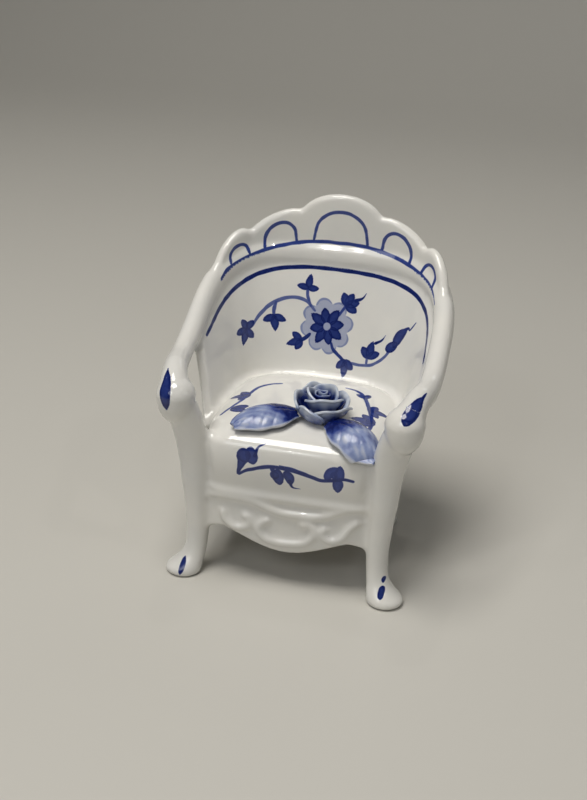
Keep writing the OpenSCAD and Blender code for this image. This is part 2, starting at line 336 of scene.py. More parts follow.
@dataclass(frozen=True)
class Plan:
    """Driving sizes of the chair, in millimetres, and the curves worked out from them."""

    rail_half_w: float = 28.6
    rail_back_d: float = 25.9
    rail_front_d: float = 34.5
    rail_square: float = 3
    climb_from_y: float = -14
    climb_span: float = 43
    barrel_half_w: float = 20.8
    barrel_back_d: float = 18
    barrel_front_d: float = 30
    barrel_square: float = 3.4
    arm_z: float = 48.8
    back_z: float = 64.8
    rail_w: float = 4.9
    arm_h: float = 5.2
    roll_h: float = 7.2
    shell_t: float = 2.4
    chair_h: float = 80
    seat_half_w: float = 21.4
    seat_front_d: float = 22.4
    seat_back_d: float = 60
    seat_square: float = 6
    seat_z: float = 23
    cushion_edge_z: float = 33.5
    dome_z: float = 38.5
    seat_bulge: float = 1.6
    seat_wall: float = 2.2
    apron_t: float = 2.2
    shell_start: float = -31
    shell_full: float = 2
    crest_start: float = 23
    crest_notch_1: float = 45
    crest_notch_2: float = 69
    crest_end_z: float = 60.5
    crest_notch_1_z: float = 69.6
    middle_rise: float = 4.8
    side_rise: float = 2
    end_rise: float = 4

    @staticmethod
    def squared(
        phi: np.ndarray, half_w: float, front_d: float, back_d: float, square: float
    ) -> np.ndarray:
        """Returns the radius of a squared ellipse in the directions phi."""
        depth = np.where(np.sin(phi) < 0, front_d, back_d)
        wide = (np.abs(np.cos(phi)) / half_w) ** square
        return (wide + (np.abs(np.sin(phi)) / depth) ** square) ** (-1 / square)

    def rail_r(self, phi: np.ndarray) -> np.ndarray:
        """Returns the radius of the rail's middle line."""
        return self.squared(
            phi, self.rail_half_w, self.rail_front_d, self.rail_back_d, self.rail_square
        )

    def rail_share(self, phi: np.ndarray) -> np.ndarray:
        """Returns how far the rail has climbed from the arms to the back."""
        return ease((self.rail_r(phi) * np.sin(phi) - self.climb_from_y) / self.climb_span)

    def rail_z(self, phi: np.ndarray) -> np.ndarray:
        """Returns the height of the rail's middle line."""
        return mix(self.arm_z, self.back_z, self.rail_share(phi))

    def rail_h(self, phi: np.ndarray) -> np.ndarray:
        """Returns the height of the rail's section."""
        climbed = (self.rail_z(phi) - self.arm_z) / (self.back_z - self.arm_z)
        return mix(self.arm_h, self.roll_h, ease(climbed))

    def barrel_r(self, phi: np.ndarray, z: np.ndarray) -> np.ndarray:
        """Returns the radius of the barrel's middle surface."""
        low = self.squared(
            phi, self.barrel_half_w, self.barrel_front_d, self.barrel_back_d, self.barrel_square
        )
        share = np.clip((z - self.seat_z) / (self.rail_z(phi) - self.seat_z), 0, 1.3) ** 2
        return mix(low, self.rail_r(phi), share)

    def front_r(self, phi: np.ndarray) -> np.ndarray:
        """Returns the radius of the seat's squared front."""
        return self.squared(
            phi, self.seat_half_w, self.seat_front_d, self.seat_back_d, self.seat_square
        )

    def apron_r(self, phi: np.ndarray) -> np.ndarray:
        """Returns the radius of the aprons' outside."""
        return np.minimum(self.front_r(phi), self.barrel_r(phi, self.seat_z) + self.shell_t / 2)

    def front_y(self, x: np.ndarray) -> np.ndarray:
        """Returns the place of the front apron's face at x."""
        aside = np.clip(np.abs(x) / self.seat_half_w, 0, 0.98)
        return -self.seat_front_d * (1 - aside**self.seat_square) ** (1 / self.seat_square)

    def cushion_r(self, phi: np.ndarray, z: np.ndarray) -> np.ndarray:
        """Returns the radius of the upholstered seat."""
        bulge = np.sin(math.pi * (z - self.seat_z) / (self.dome_z - self.seat_z))
        inside = self.barrel_r(phi, z) - self.shell_t / 2
        return np.minimum(self.front_r(phi) + self.seat_bulge * bulge, inside)

    def dome(self, share: np.ndarray) -> np.ndarray:
        """Returns the height of the domed seat at a share of its radius."""
        return self.cushion_edge_z + (self.dome_z - self.cushion_edge_z) * np.sqrt(
            np.clip(1 - share**4, 0, 1)
        )

    def seat_top(self, x: np.ndarray, y: np.ndarray) -> np.ndarray:
        """Returns the height of the seat over a place in plan."""
        phi = np.arctan2(y, x)
        reach = self.cushion_r(phi, np.full_like(phi, self.cushion_edge_z))
        return self.dome(np.clip(np.hypot(x, y) / reach, 0, 1))

    def shell_top(self, phi: np.ndarray) -> np.ndarray:
        """Returns the height of the barrel's free edge, or where it enters the rail."""
        folded = np.where(phi > math.pi / 2, math.pi - phi, phi)
        share = ease((np.degrees(folded) - self.shell_start) / (self.shell_full - self.shell_start))
        return mix(self.cushion_edge_z, self.rail_z(folded) - 0.25 * self.rail_h(folded), share)

    def crest_top(self, phi: np.ndarray) -> np.ndarray:
        """Returns the height of the crest's scalloped edge."""
        turn = np.degrees(phi)
        folded = np.where(turn > 90, 180 - turn, turn)
        outer, inner = self.crest_notch_1, self.crest_notch_2
        outer_z, inner_z = self.crest_notch_1_z, self.chair_h - self.middle_rise
        spans = (
            (self.crest_start, outer, self.crest_end_z, outer_z, self.end_rise),
            (outer, inner, outer_z, inner_z, self.side_rise),
            (inner, 180 - inner, inner_z, inner_z, self.middle_rise),
        )
        height = np.zeros_like(phi)
        for start, end, from_z, to_z, rise in spans:
            t = (folded - start) / (end - start)
            arch = np.clip(1 - np.abs(2 * t - 1) ** 2.2, 0, 1) ** 0.7
            height = np.where(folded >= start, mix(from_z, to_z, t) + rise * arch, height)
        return height

    @staticmethod
    def at(r: np.ndarray, phi: np.ndarray, z: np.ndarray) -> np.ndarray:
        """Returns the places at radius r, direction phi and height z."""
        return np.stack(np.broadcast_arrays(r * np.cos(phi), r * np.sin(phi), z), axis=-1)


@dataclass
class Limbs:
    """Four legs and two arm posts.

    A station holds its height, middle x, middle y, half width and half depth.
    """

    plan: Plan
    front_leg: tuple = (
        (0, 23.4, -22.1, 3.4, 3.3), (0.5, 23.7, -22.3, 4.1, 3.9), (1.6, 23.6, -22.2, 4.2, 4.0),
        (3.0, 22.6, -21.5, 3.4, 3.6), (4.8, 21.7, -20.7, 2.75, 2.95), (7.5, 21.2, -20.2, 2.55, 2.7),
        (12.4, 21.0, -20.1, 2.65, 2.7), (18, 21.3, -20.2, 2.85, 2.8), (23.4, 21.6, -20.5, 3.05, 2.9),
    )
    arm_post: tuple = (
        (22.6, 21.6, -20.5, 3.15, 2.9), (28, 21.8, -20.8, 3.4, 2.9), (33, 22.2, -21.3, 3.7, 3.0),
        (37, 22.9, -21.9, 3.9, 3.1), (40, 23.7, -22.4, 4.0, 3.3), (43, 24.5, -22.9, 3.8, 3.5),
    )
    rear_leg: tuple = (
        (0, 17.4, 14.2, 2.9, 3.0), (0.5, 17.5, 14.3, 3.3, 3.4), (1.6, 17.4, 14.2, 3.4, 3.5),
        (3.0, 17.1, 13.8, 3.0, 3.1), (4.8, 16.7, 13.3, 2.6, 2.7), (9, 16.3, 12.8, 2.5, 2.6),
        (15, 16.0, 12.4, 2.7, 2.9), (24, 15.8, 12.2, 3.0, 3.3),
    )

    def build(self) -> dict[str, bpy.types.Object]:
        """Draws out each limb on the right and mirrors it to the left.

        Returns:
            The clay limbs by node name.
        """
        made = {}
        for name, stations in (
            ("front_{}_leg", self.front_leg),
            ("rear_{}_leg", self.rear_leg),
            ("{}_arm_post", self.arm_post),
        ):
            right = Bench.limb(name.format("right"), stations)
            made[name.format("right")] = right
            made[name.format("left")] = Bench.copy(right, name.format("left"), mirrored=True)
        return made


@dataclass
class Barrel:
    """Rounded back with its moulding, scalloped crest, arms and hand rests."""

    plan: Plan
    arm_joint: float = 22
    hand_at: Point3 = (25.2, -23.6, 44.6)
    hand_r: float = 4.5
    hand_drop: float = 1.4
    crest_t: float = 2.5
    lap: float = 2
    bend_from_y: float = -18.6
    arm_swell: float = 0.12
    arm_bend: tuple = (
        (26.55, -20.6, 48.0, 2.95, 3.1), (26.0, -22.2, 46.7, 3.4, 3.6), (25.4, -23.4, 45.2, 3.7, 3.9),
    )

    def shell(self) -> bpy.types.Object:
        """Raises the barrel's wall, leaning outwards, and returns it."""
        plan = self.plan
        phi = np.radians(np.linspace(plan.shell_start, 180 - plan.shell_start, 150))[:, None]
        rise = np.linspace(0, 1, 24)[None, :]
        z = mix(plan.seat_z - 0.6, plan.shell_top(phi), rise)
        middle = plan.barrel_r(phi, z)
        inner = plan.at(middle - plan.shell_t / 2, phi, z)
        outer = plan.at(middle + plan.shell_t / 2, phi, z)
        return Bench.skin("back_shell", np.concatenate([inner, outer[:, ::-1]], axis=1))

    def roll(self) -> bpy.types.Object:
        """Bends the moulding along the top of the back and returns it."""
        plan = self.plan
        phi = np.radians(np.linspace(self.arm_joint, 180 - self.arm_joint, 110))[:, None]
        turn = np.linspace(0, 2 * math.pi, 32, endpoint=False)[None, :]
        r = plan.rail_r(phi) + plan.rail_w / 2 * np.cos(turn)
        z = plan.rail_z(phi) + plan.rail_h(phi) / 2 * np.sin(turn)
        return Bench.skin("back_roll", plan.at(r, phi, z))

    def crest(self) -> bpy.types.Object:
        """Cuts the scalloped crest, with a rounded edge, and returns it."""
        plan = self.plan
        half = self.crest_t / 2
        phi = np.radians(np.linspace(plan.crest_start, 180 - plan.crest_start, 190))[:, None]
        low = plan.rail_z(phi)
        top = np.maximum(plan.crest_top(phi), low + plan.roll_h / 2 + 0.4)
        rise = np.linspace(0, 1, 12)[None, :-1]
        arc = np.linspace(0, math.pi, 9)[None, :]
        side_z = mix(low, top - half, rise)
        r = plan.rail_r(phi)
        rings = [
            plan.at(r + half, phi, side_z),
            plan.at(r + half * np.cos(arc), phi, top - half + half * np.sin(arc)),
            plan.at(r - half, phi, side_z[:, ::-1]),
        ]
        return Bench.skin("crest", np.concatenate(rings, axis=1))

    def arm(self) -> bpy.types.Object:
        """Bends the right arm from the moulding forwards and down into its hand rest.

        Returns:
            The arm.
        """
        plan = self.plan
        turns = np.radians(np.linspace(self.arm_joint + self.lap, -35, 60))
        r = plan.rail_r(turns)
        back = r * np.sin(turns) > self.bend_from_y
        line = plan.at(r, turns, plan.rail_z(turns))[back]
        half_h = plan.rail_h(turns)[back] / 2
        swell = 1 + self.arm_swell * ease((-line[:, 1] - 8) / 10)
        stations = np.column_stack([line, plan.rail_w / 2 * swell, half_h * swell])
        return Bench.sweep("right_arm", smooth_path(np.vstack([stations, self.arm_bend]), 2))

    def hand_rest(self) -> bpy.types.Object:
        """Rolls the bulb that ends the right arm, drawn out a little downwards, and returns it."""
        Bench.pick()
        bpy.ops.mesh.primitive_uv_sphere_add(
            segments=48, ring_count=28, radius=self.hand_r, location=self.hand_at
        )
        bulb = bpy.context.object
        bulb.name = "right_hand_rest"
        bpy.ops.object.transform_apply(location=True, rotation=True, scale=True)
        below = Bench.corners(bulb)[:, 2] < self.hand_at[2]
        bpy.ops.object.mode_set(mode="EDIT")
        bpy.ops.mesh.select_all(action="DESELECT")
        bpy.ops.object.mode_set(mode="OBJECT")
        bulb.data.vertices.foreach_set("select", below)
        bpy.ops.object.mode_set(mode="EDIT")
        bpy.ops.transform.resize(value=(0.96, 0.96, self.hand_drop), center_override=self.hand_at)
        bpy.ops.object.mode_set(mode="OBJECT")
        return bulb

    def build(self) -> dict[str, bpy.types.Object]:
        """Builds the back and both arms.

        Returns:
            The clay pieces by node name.
        """
        arm = self.arm()
        bulb = self.hand_rest()
        return {
            "back_shell": self.shell(), "back_roll": self.roll(), "crest": self.crest(),
            "right_arm": arm, "left_arm": Bench.copy(arm, "left_arm", mirrored=True),
            "right_hand_rest": bulb,
            "left_hand_rest": Bench.copy(bulb, "left_hand_rest", mirrored=True),
        }


@dataclass
class Seat:
    """Hollow domed seat, its floor with the vent, the aprons round it and their relief."""

    plan: Plan
    vent_at: Point3 = (0, -2, 22)
    vent_r: float = 2.5
    cord_r: float = 0.8
    cord_out: float = 0.2
    corner_drop: float = 1.6
    side_scroll_at: Point2 = (-6, 17.4)
    side_scroll_r: float = 2.3
    scroll_routes: dict[str, tuple] = field(default_factory=lambda: {
        "left_scroll": (
            ((-14.6, 17.6), (-13.9, 15.4), (-11.9, 13.9), (-9.6, 13.9), (-8.1, 15.2), (-8.3, 16.8),
             (-9.8, 17.1)),
        ),
        "right_scroll": (
            ((16.6, 19.4), (14.8, 17.6), (13.3, 15.2), (11.3, 13.8), (9.3, 14.2), (8.4, 15.7),
             (9.7, 17.0)),
        ),
        "centre_scrolls": (
            ((-3.4, 16.9), (-5.2, 16.0), (-6.0, 13.9), (-4.6, 12.1), (-2.0, 11.4), (1.6, 11.5),
             (4.6, 12.2), (6.4, 13.9), (6.7, 16.0), (5.4, 17.2), (3.6, 16.6)),
        ),
        "apron_bead": (
            ((-18.4, 20.6), (-14.6, 21.3), (-11, 21.4), (-7.4, 21.1), (-4.8, 20.2), (-1.6, 19.2),
             (1.4, 19.0), (3.6, 19.1), (6.4, 19.2), (9.4, 20.0), (12.2, 21.5), (14.6, 22.3),
             (18.4, 22.4)),
            ((-19.2, 22.6), (-9, 22.7), (0, 22.7), (9, 22.7), (19.2, 22.6)),
        ),
    })

    def cushion(self) -> bpy.types.Object:
        """Throws the seat as one even wall, open below, and returns it."""
        plan = self.plan
        phi = np.radians(np.linspace(0, FULL_TURN, 180, endpoint=False))[None, :]
        wall_z = np.linspace(plan.seat_z, plan.cushion_edge_z, 16)[:, None]
        share = np.sin(np.linspace(math.pi / 2, 0, 26))[:, None] ** 0.8
        edge = plan.cushion_edge_z
        outside = [
            plan.at(plan.cushion_r(phi, wall_z), phi, wall_z),
            plan.at(share[1:] * plan.cushion_r(phi, edge), phi, plan.dome(share[1:])),
        ]
        inset = plan.seat_wall
        inward = share[:0:-1]
        down_z = wall_z[::-1]
        inside = [
            plan.at(inward * (plan.cushion_r(phi, edge) - inset), phi, plan.dome(inward) - inset),
            plan.at(
                plan.cushion_r(phi, down_z) - inset, phi, down_z - inset * (down_z > plan.seat_z + 1)
            ),
        ]
        return Bench.skin("seat_cushion", np.concatenate(inside + outside, axis=0))

    def floor(self) -> bpy.types.Object:
        """Rolls the slab that closes the seat below, cuts its vent and returns it."""
        plan = self.plan
        phi = np.radians(np.linspace(0, FULL_TURN, 120, endpoint=False))[None, :]
        levels = np.array([plan.seat_z - plan.seat_wall, plan.seat_z])[:, None]
        slab = Bench.skin("seat_floor", plan.at(plan.apron_r(phi) - plan.apron_t / 2, phi, levels))
        bpy.ops.mesh.primitive_cylinder_add(
            vertices=64, radius=self.vent_r, depth=8, location=self.vent_at
        )
        drill = bpy.context.object
        Bench.modify(slab, "BOOLEAN", object=drill, operation="DIFFERENCE", solver="EXACT")
        bpy.data.objects.remove(drill)
        return slab

    def apron(
        self, name: str, from_turn: float, to_turn: float, corner_z: float, low_z: float
    ) -> bpy.types.Object:
        """Builds the apron between two legs.

        Args:
            name: Name of the piece.
            from_turn: Plan angle where it starts.
            to_turn: Plan angle where it ends.
            corner_z: Height of its lower edge at the arches beside the legs.
            low_z: Height of its lower edge at the middle.

        Returns:
            The apron.
        """
        plan = self.plan
        phi = np.radians(np.linspace(from_turn, to_turn, 90))[:, None]
        middle = math.radians((from_turn + to_turn) / 2)
        reach = plan.apron_r(phi) * np.sin(phi - middle)
        u = reach / np.abs(reach).max()
        drop = np.cos(math.pi / 2 * np.clip(np.abs(u) / 0.8, 0, 1)) ** 1.25
        beside_leg = np.clip((np.abs(u) - 0.7) / 0.3, 0, 1)
        low = mix(corner_z, low_z, drop) - self.corner_drop * beside_leg**2
        rise = np.linspace(0, 1, 10)[None, :]
        z = mix(low, plan.seat_z + 0.8, rise)
        outer = plan.at(plan.apron_r(phi), phi, z)
        inner = plan.at(plan.apron_r(phi) - plan.apron_t, phi, z)
        return Bench.skin(name, np.concatenate([inner, outer[:, ::-1]], axis=1))

    def relief(self) -> dict[str, bpy.types.Object]:
        """Lays the rolled cords of the swag and scrolls on the front apron.

        Returns:
            The cords by node name.
        """
        made = {}
        for name, routes in self.scroll_routes.items():
            cords = []
            for route in routes:
                flat = smooth_path(route, 8)
                y = self.plan.front_y(flat[:, 0]) - self.cord_out
                line = np.column_stack([flat[:, 0], y, flat[:, 1]])
                cords.append(Bench.cord(name, line, self.cord_r))
            Bench.pick(*cords)
            if len(cords) > 1:
                bpy.ops.object.join()
            made[name] = cords[0]
        return made

    def side_relief(self) -> bpy.types.Object:
        """Curls a cord of clay on each side apron and returns the pair."""
        turn = np.radians(np.linspace(-60, 230, 40))
        y = self.side_scroll_at[0] + self.side_scroll_r * np.cos(turn)
        z = self.side_scroll_at[1] + self.side_scroll_r * np.sin(turn)
        phi = np.arctan2(y, self.plan.seat_half_w)
        x = self.plan.apron_r(phi) * np.cos(phi) - 0.1
        section = np.full((len(turn), 2), self.cord_r)
        right = Bench.sweep("side_scrolls", np.column_stack([x, y, z, section]), 12)
        left = Bench.copy(right, "left_side_scroll", mirrored=True)
        Bench.pick(right, left)
        bpy.ops.object.join()
        return right

    def build(self) -> dict[str, bpy.types.Object]:
        """Builds the seat and everything round it.

        Returns:
            The clay pieces by node name.
        """
        right = self.apron("right_apron", -47, 38, 13.4, 10.9)
        return {
            "seat_cushion": self.cushion(), "seat_floor": self.floor(),
            "front_apron": self.apron("front_apron", -133, -47, 13.2, 8.7),
            "rear_apron": self.apron("rear_apron", 36, 144, 14.4, 12.4),
            "right_apron": right, "left_apron": Bench.copy(right, "left_apron", mirrored=True),
            "side_scrolls": self.side_relief(), **self.relief(),
        }


@dataclass
class Firing:
    """Lutes clay pieces into one body with rounded joints, and parts it again along those joints."""

    voxel: float = 0.34
    joint_r: float = 0.85
    swell: float = 0.4
    order: tuple[str, ...] = (
        "centre_scrolls", "left_scroll", "right_scroll", "side_scrolls", "apron_bead",
        "left_hand_rest", "right_hand_rest", "crest", "back_roll", "left_arm", "right_arm",
        "left_arm_post", "right_arm_post", "front_left_leg", "front_right_leg", "rear_left_leg",
        "rear_right_leg", "seat_cushion", "back_shell", "seat_floor", "left_apron", "right_apron",
        "rear_apron", "front_apron",
    )

    def fuse(self, clay: Iterable[bpy.types.Object]) -> bpy.types.Object:
        """Joins copies of the clay pieces and rounds the hollows between them.

        Args:
            clay: The closed clay pieces.

        Returns:
            The one fused body.
        """
        copies = [Bench.copy(piece, "luted") for piece in clay]
        Bench.pick(*copies)
        bpy.ops.object.join()
        body = copies[0]
        body.name = "fired_body"
        Bench.modify(body, "REMESH", mode="VOXEL", voxel_size=self.voxel)
        Bench.modify(body, "DISPLACE", strength=self.joint_r, mid_level=0)
        Bench.modify(body, "REMESH", mode="VOXEL", voxel_size=self.voxel)
        Bench.modify(body, "SMOOTH", factor=0.5, iterations=2)
        Bench.modify(body, "DISPLACE", strength=-self.joint_r, mid_level=0)
        Bench.modify(body, "REMESH", mode="VOXEL", voxel_size=self.voxel)
        Bench.modify(body, "SMOOTH", factor=0.5, iterations=7)
        Bench.pick(body)
        bpy.ops.object.shade_smooth()
        return body

    def part(
        self, body: bpy.types.Object, clay: dict[str, bpy.types.Object]
    ) -> dict[str, bpy.types.Object]:
        """Parts the fused body into closed pieces, one for each clay piece.

        Args:
            body: The fused body, which is left whole.
            clay: The clay pieces by node name.

        Returns:
            The fired pieces by node name.
        """
        fired = {}
        rest = Bench.copy(body, "rest")
        for name in self.order[:-1]:
            cutter = Bench.copy(clay[name], "cutter")
            Bench.modify(cutter, "REMESH", mode="VOXEL", voxel_size=self.voxel)
            Bench.modify(cutter, "DISPLACE", strength=self.swell, mid_level=0)
            Bench.modify(cutter, "REMESH", mode="VOXEL", voxel_size=self.voxel * 1.3)
            piece = Bench.copy(rest, name + "_fired")
            Bench.modify(piece, "BOOLEAN", object=cutter, operation="INTERSECT", solver="MANIFOLD")
            Bench.modify(rest, "BOOLEAN", object=cutter, operation="DIFFERENCE", solver="MANIFOLD")
            LOG.info("parted %s: %d faces", name, len(piece.data.polygons))
            fired[name] = piece
            bpy.data.objects.remove(cutter)
        fired[self.order[-1]] = rest
        return fired


@dataclass(frozen=True)
class Stroke:
    """One touch of the brush on a flat ground, in millimetres.

    A touch that lifts takes up the cobalt under it, down to its own tone.
    """

    points: tuple[Point2, ...]
    width: float
    touch: Touch = Touch.LINE
    tone: float = 0.92
    lifts: bool = False

    def profile(self, share: np.ndarray) -> np.ndarray:
        """Returns half the stroke's width at a share of its length."""
        if len(self.points) == 1:
            return np.full_like(share, self.width / 2)
        if self.touch is Touch.BELLY:
            return self.width / 2 * np.sin(math.pi * np.clip(share, 0.02, 0.98) ** 0.8) ** 0.75
        if self.touch is Touch.TAIL:
            return self.width / 2 * (1 - 0.85 * share)
        return self.width / 2 * (0.62 + 0.38 * np.sin(math.pi * share) ** 0.5)

    def depth(self, at: np.ndarray) -> np.ndarray:
        """Measures how far inside the stroke places lie.

        Args:
            at: Places on the ground, one row each.

        Returns:
            The depth under the stroke's edge, less than nought outside it.
        """
        dab = len(self.points) == 1
        path = np.array(self.points * 2, float) if dab else smooth_path(self.points, 6)
        deepest = np.full(len(at), -9.0)
        reach = self.width / 2 + 1
        near = ((at > path.min(0) - reach) & (at < path.max(0) + reach)).all(1)
        if not near.any():
            return deepest
        spots = at[near]
        found = np.full(len(spots), -9.0)
        shares = np.linspace(0, 1, len(path))
        for start, end, low, high in zip(path, path[1:], shares, shares[1:]):
            run = end - start
            t = np.clip(((spots - start) @ run) / max(run @ run, 1e-9), 0, 1)
            gap = np.linalg.norm(spots - start - t[:, None] * run, axis=1)
            found = np.maximum(found, self.profile(mix(low, high, t)) - gap)
        deepest[near] = found
        return deepest


def leaf_touches(at: Point2, heading: float, size: float, lobes: Sequence[float]) -> list[Stroke]:
    """Sets down one lobed leaf.

    Args:
        at: Where its stalk ends.
        heading: Direction of its tip, in degrees.
        size: Its length.
        lobes: Turn of each lobe away from the heading, in degrees.

    Returns:
        One broad touch for each lobe.
    """
    touches = []
    for turn in lobes:
        way = math.radians(heading + turn)
        reach = size if turn == 0 else 0.72 * size
        tip = (at[0] + reach * math.cos(way), at[1] + reach * math.sin(way))
        touches.append(Stroke((at, tip), 0.5 * size, Touch.BELLY))
    return touches


def arch(
    middle: float, half_w: float, from_z: float, to_z: float, top_z: float, width: float
) -> Stroke:
    """Draws one arch of the crest.

    Args:
        middle: Its middle along the crest.
        half_w: Half its width.
        from_z: Height of its left foot.
        to_z: Height of its right foot.
        top_z: Height of its top.
        width: Width of the line.

    Returns:
        The stroke.
    """
    foot = (from_z + to_z) / 2
    points = [(middle - half_w, from_z)]
    for turn in (150, 120, 90, 60, 30):
        way = math.radians(turn)
        base = mix(from_z, to_z, 0.5 + 0.5 * math.cos(way))
        points.append((middle + half_w * math.cos(way), base + (top_z - foot) * math.sin(way) ** 0.8))
    points.append((middle + half_w, to_z))
    return Stroke(tuple(points), width, tone=0.74)


@dataclass
class Painter:
    """Cobalt painting of the chair, on grounds unrolled from its surfaces."""

    plan: Plan
    back_unroll: float = 21
    crest_unroll: float = 25
    edge: float = 0.16
    crowded: int = 40000

    @staticmethod
    def blossom_strokes(middle: Point2) -> list[Stroke]:
        """Returns the strokes of the blossom: pale lobes with a rim, a dark star and its eye."""
        strokes = []
        for turn in range(8):
            way = math.radians(turn * 45 + 12)
            ray = np.array((math.cos(way), math.sin(way)))
            lobe = np.array(middle) + 4.6 * ray
            strokes.append(Stroke((tuple(lobe),), 4.3, tone=0.27))
            rim = [
                tuple(lobe + 1.95 * np.array((math.cos(a), math.sin(a))))
                for a in way + np.radians((-66, -33, 0, 33, 66))
            ]
            strokes.append(Stroke(tuple(rim), 0.5, tone=0.42))
            reach = 4.9 if turn % 2 else 4.4
            petal = (tuple(np.array(middle) + 0.7 * ray), tuple(np.array(middle) + reach * ray))
            strokes.append(Stroke(petal, 2.5, Touch.BELLY, tone=0.98))
        strokes.append(Stroke((middle,), 1.9, tone=0.3, lifts=True))
        return strokes

    def back_strokes(self) -> list[Stroke]:
        """Returns the strokes on the inside of the back: border, blossom and trailing vine."""
        border = (
            (-32.4, 49.9), (-29.6, 51.4), (-26.2, 53.6), (-22.4, 56.2), (-19, 58.2), (-15.6, 59.9),
            (-11, 61.2), (-6, 61.8), (0, 61.9), (6.6, 61.6), (11.7, 60.9), (16.5, 59.5),
            (19.4, 57.9), (22.4, 55.7), (26.8, 51.8), (31, 49.0),
        )
        long_stem = (
            (-4.4, 51.8), (-6.2, 53.7), (-8.4, 54.5), (-11, 54.2), (-14, 52.7), (-16.4, 50.4),
            (-18.4, 47.9),
        )
        strokes = [
            Stroke(border, 0.95, tone=0.93),
            *self.blossom_strokes((-1.1, 48.4)),
            Stroke(long_stem, 0.85, tone=0.6),
            Stroke(((-5.4, 52.8), (-6.2, 55.2), (-6.2, 57.0)), 0.75, tone=0.66),
            Stroke(((-12.9, 53.3), (-13.5, 51.4), (-13.6, 50)), 0.75, tone=0.66),
            Stroke(((-5.4, 46.2), (-6.8, 44.9), (-8.2, 44.4)), 1.0, tone=0.88),
            Stroke(((1.6, 51.2), (2.8, 53.2), (3.6, 54.4)), 0.8, tone=0.7),
            Stroke(((0.4, 44.6), (1.2, 43.0), (3.3, 41.4), (4.8, 40.2)), 0.9, tone=0.8),
            Stroke(
                ((4.8, 39.9), (6.6, 40.2), (9, 40.1), (11.7, 40.7), (14.3, 43.3), (15.4, 46.4)),
                0.75, tone=0.62,
            ),
            Stroke(((10.3, 40.4), (10.3, 43.4)), 0.6, tone=0.62),
            Stroke(((14.6, 45.0), (16.3, 47.4)), 2.3, Touch.BELLY, tone=0.95),
            Stroke(((15.8, 46.2), (16.7, 49.4), (17.9, 51.2)), 2.2, Touch.BELLY, tone=0.95),
            Stroke(
                ((16.8, 50.2), (18.1, 51.6), (18.7, 51.4), (19.6, 53.6)), 0.9, Touch.TAIL, tone=0.85
            ),
            Stroke(((5.2, 55.2), (6.6, 56.0), (7.2, 57.2)), 0.9, Touch.TAIL),
            Stroke(((11.6, 46.0), (12.8, 47.0), (13.4, 48.4)), 0.7, Touch.TAIL),
        ]
        strokes += leaf_touches((-6.1, 57.0), 80, 3.2, (-80, 0, 90))
        strokes += leaf_touches((-13.5, 49.9), -90, 3.6, (-65, 0, 65))
        strokes += leaf_touches((-19.8, 47.4), 60, 3.4, (-20, 50))
        strokes += leaf_touches((-20.0, 47.2), -110, 3.7, (-60, 0, 55))
        strokes += leaf_touches((-7.6, 44.4), -160, 3.7, (-62, 0, 40))
        strokes += leaf_touches((3.2, 54.0), 40, 4.1, (-70, -25, 25, 70))
        strokes += leaf_touches((4.8, 40.6), -90, 4.1, (-48, 0, 48))
        strokes += leaf_touches((10.4, 42.3), 82, 4.0, (-50, 0, 45))
        return strokes

    def crest_strokes(self) -> list[Stroke]:
        """Returns the strokes on the crest: its base line and five arches."""
        half_base = (
            (0, 68.3), (5, 68.2), (10, 67.5), (15, 66.3), (20, 64.7), (25, 62.7), (29, 60.2)
        )
        base = tuple((-s, z) for s, z in half_base[:0:-1]) + half_base
        strokes = [Stroke(base, 0.85, tone=0.72), arch(0.3, 6.6, 68.3, 68.2, 75.9, 0.85)]
        for side in (-1, 1):
            feet = (66.0, 67.6) if side < 0 else (67.2, 65.5)
            strokes.append(arch(side * 13.7, 3.5, *feet, 72.2, 0.85))
            feet = (63.2, 64.9) if side < 0 else (64.2, 62.4)
            strokes.append(arch(side * 23.0, 2.4, *feet, 67.0, 0.85))
        strokes.append(Stroke(((-28.6, 60.4), (-26.6, 62.2), (-23.6, 63.6)), 1.2, Touch.TAIL, tone=0.8))
        return strokes

    @staticmethod
    def seat_strokes() -> list[Stroke]:
        """Returns the strokes on the seat's top, in plan."""
        return [
            Stroke(
                ((-8.2, 4.6), (-11, 3.4), (-13.1, 1.2), (-14.2, -2.4), (-15.2, -7), (-18.0, -13.2)),
                0.95, tone=0.72,
            ),
            Stroke(
                ((7.0, 7.0), (9.6, 6.2), (11.6, 4.2), (13.4, 0), (15, -5), (16.1, -9), (15.7, -14)),
                1.0, tone=0.78,
            ),
            *leaf_touches((-14.2, -3.4), 186, 4.4, (-50, 0, 50)),
            *leaf_touches((-16.0, -11.0), 4, 5.2, (-28, 14)),
            *leaf_touches((12.2, 3.0), 120, 3.4, (-50, 30)),
            *leaf_touches((14.6, -3.0), 10, 4.4, (-60, 0, 60)),
            *leaf_touches((16.2, -8.4), 188, 5.2, (-50, 0, 40)),
        ]

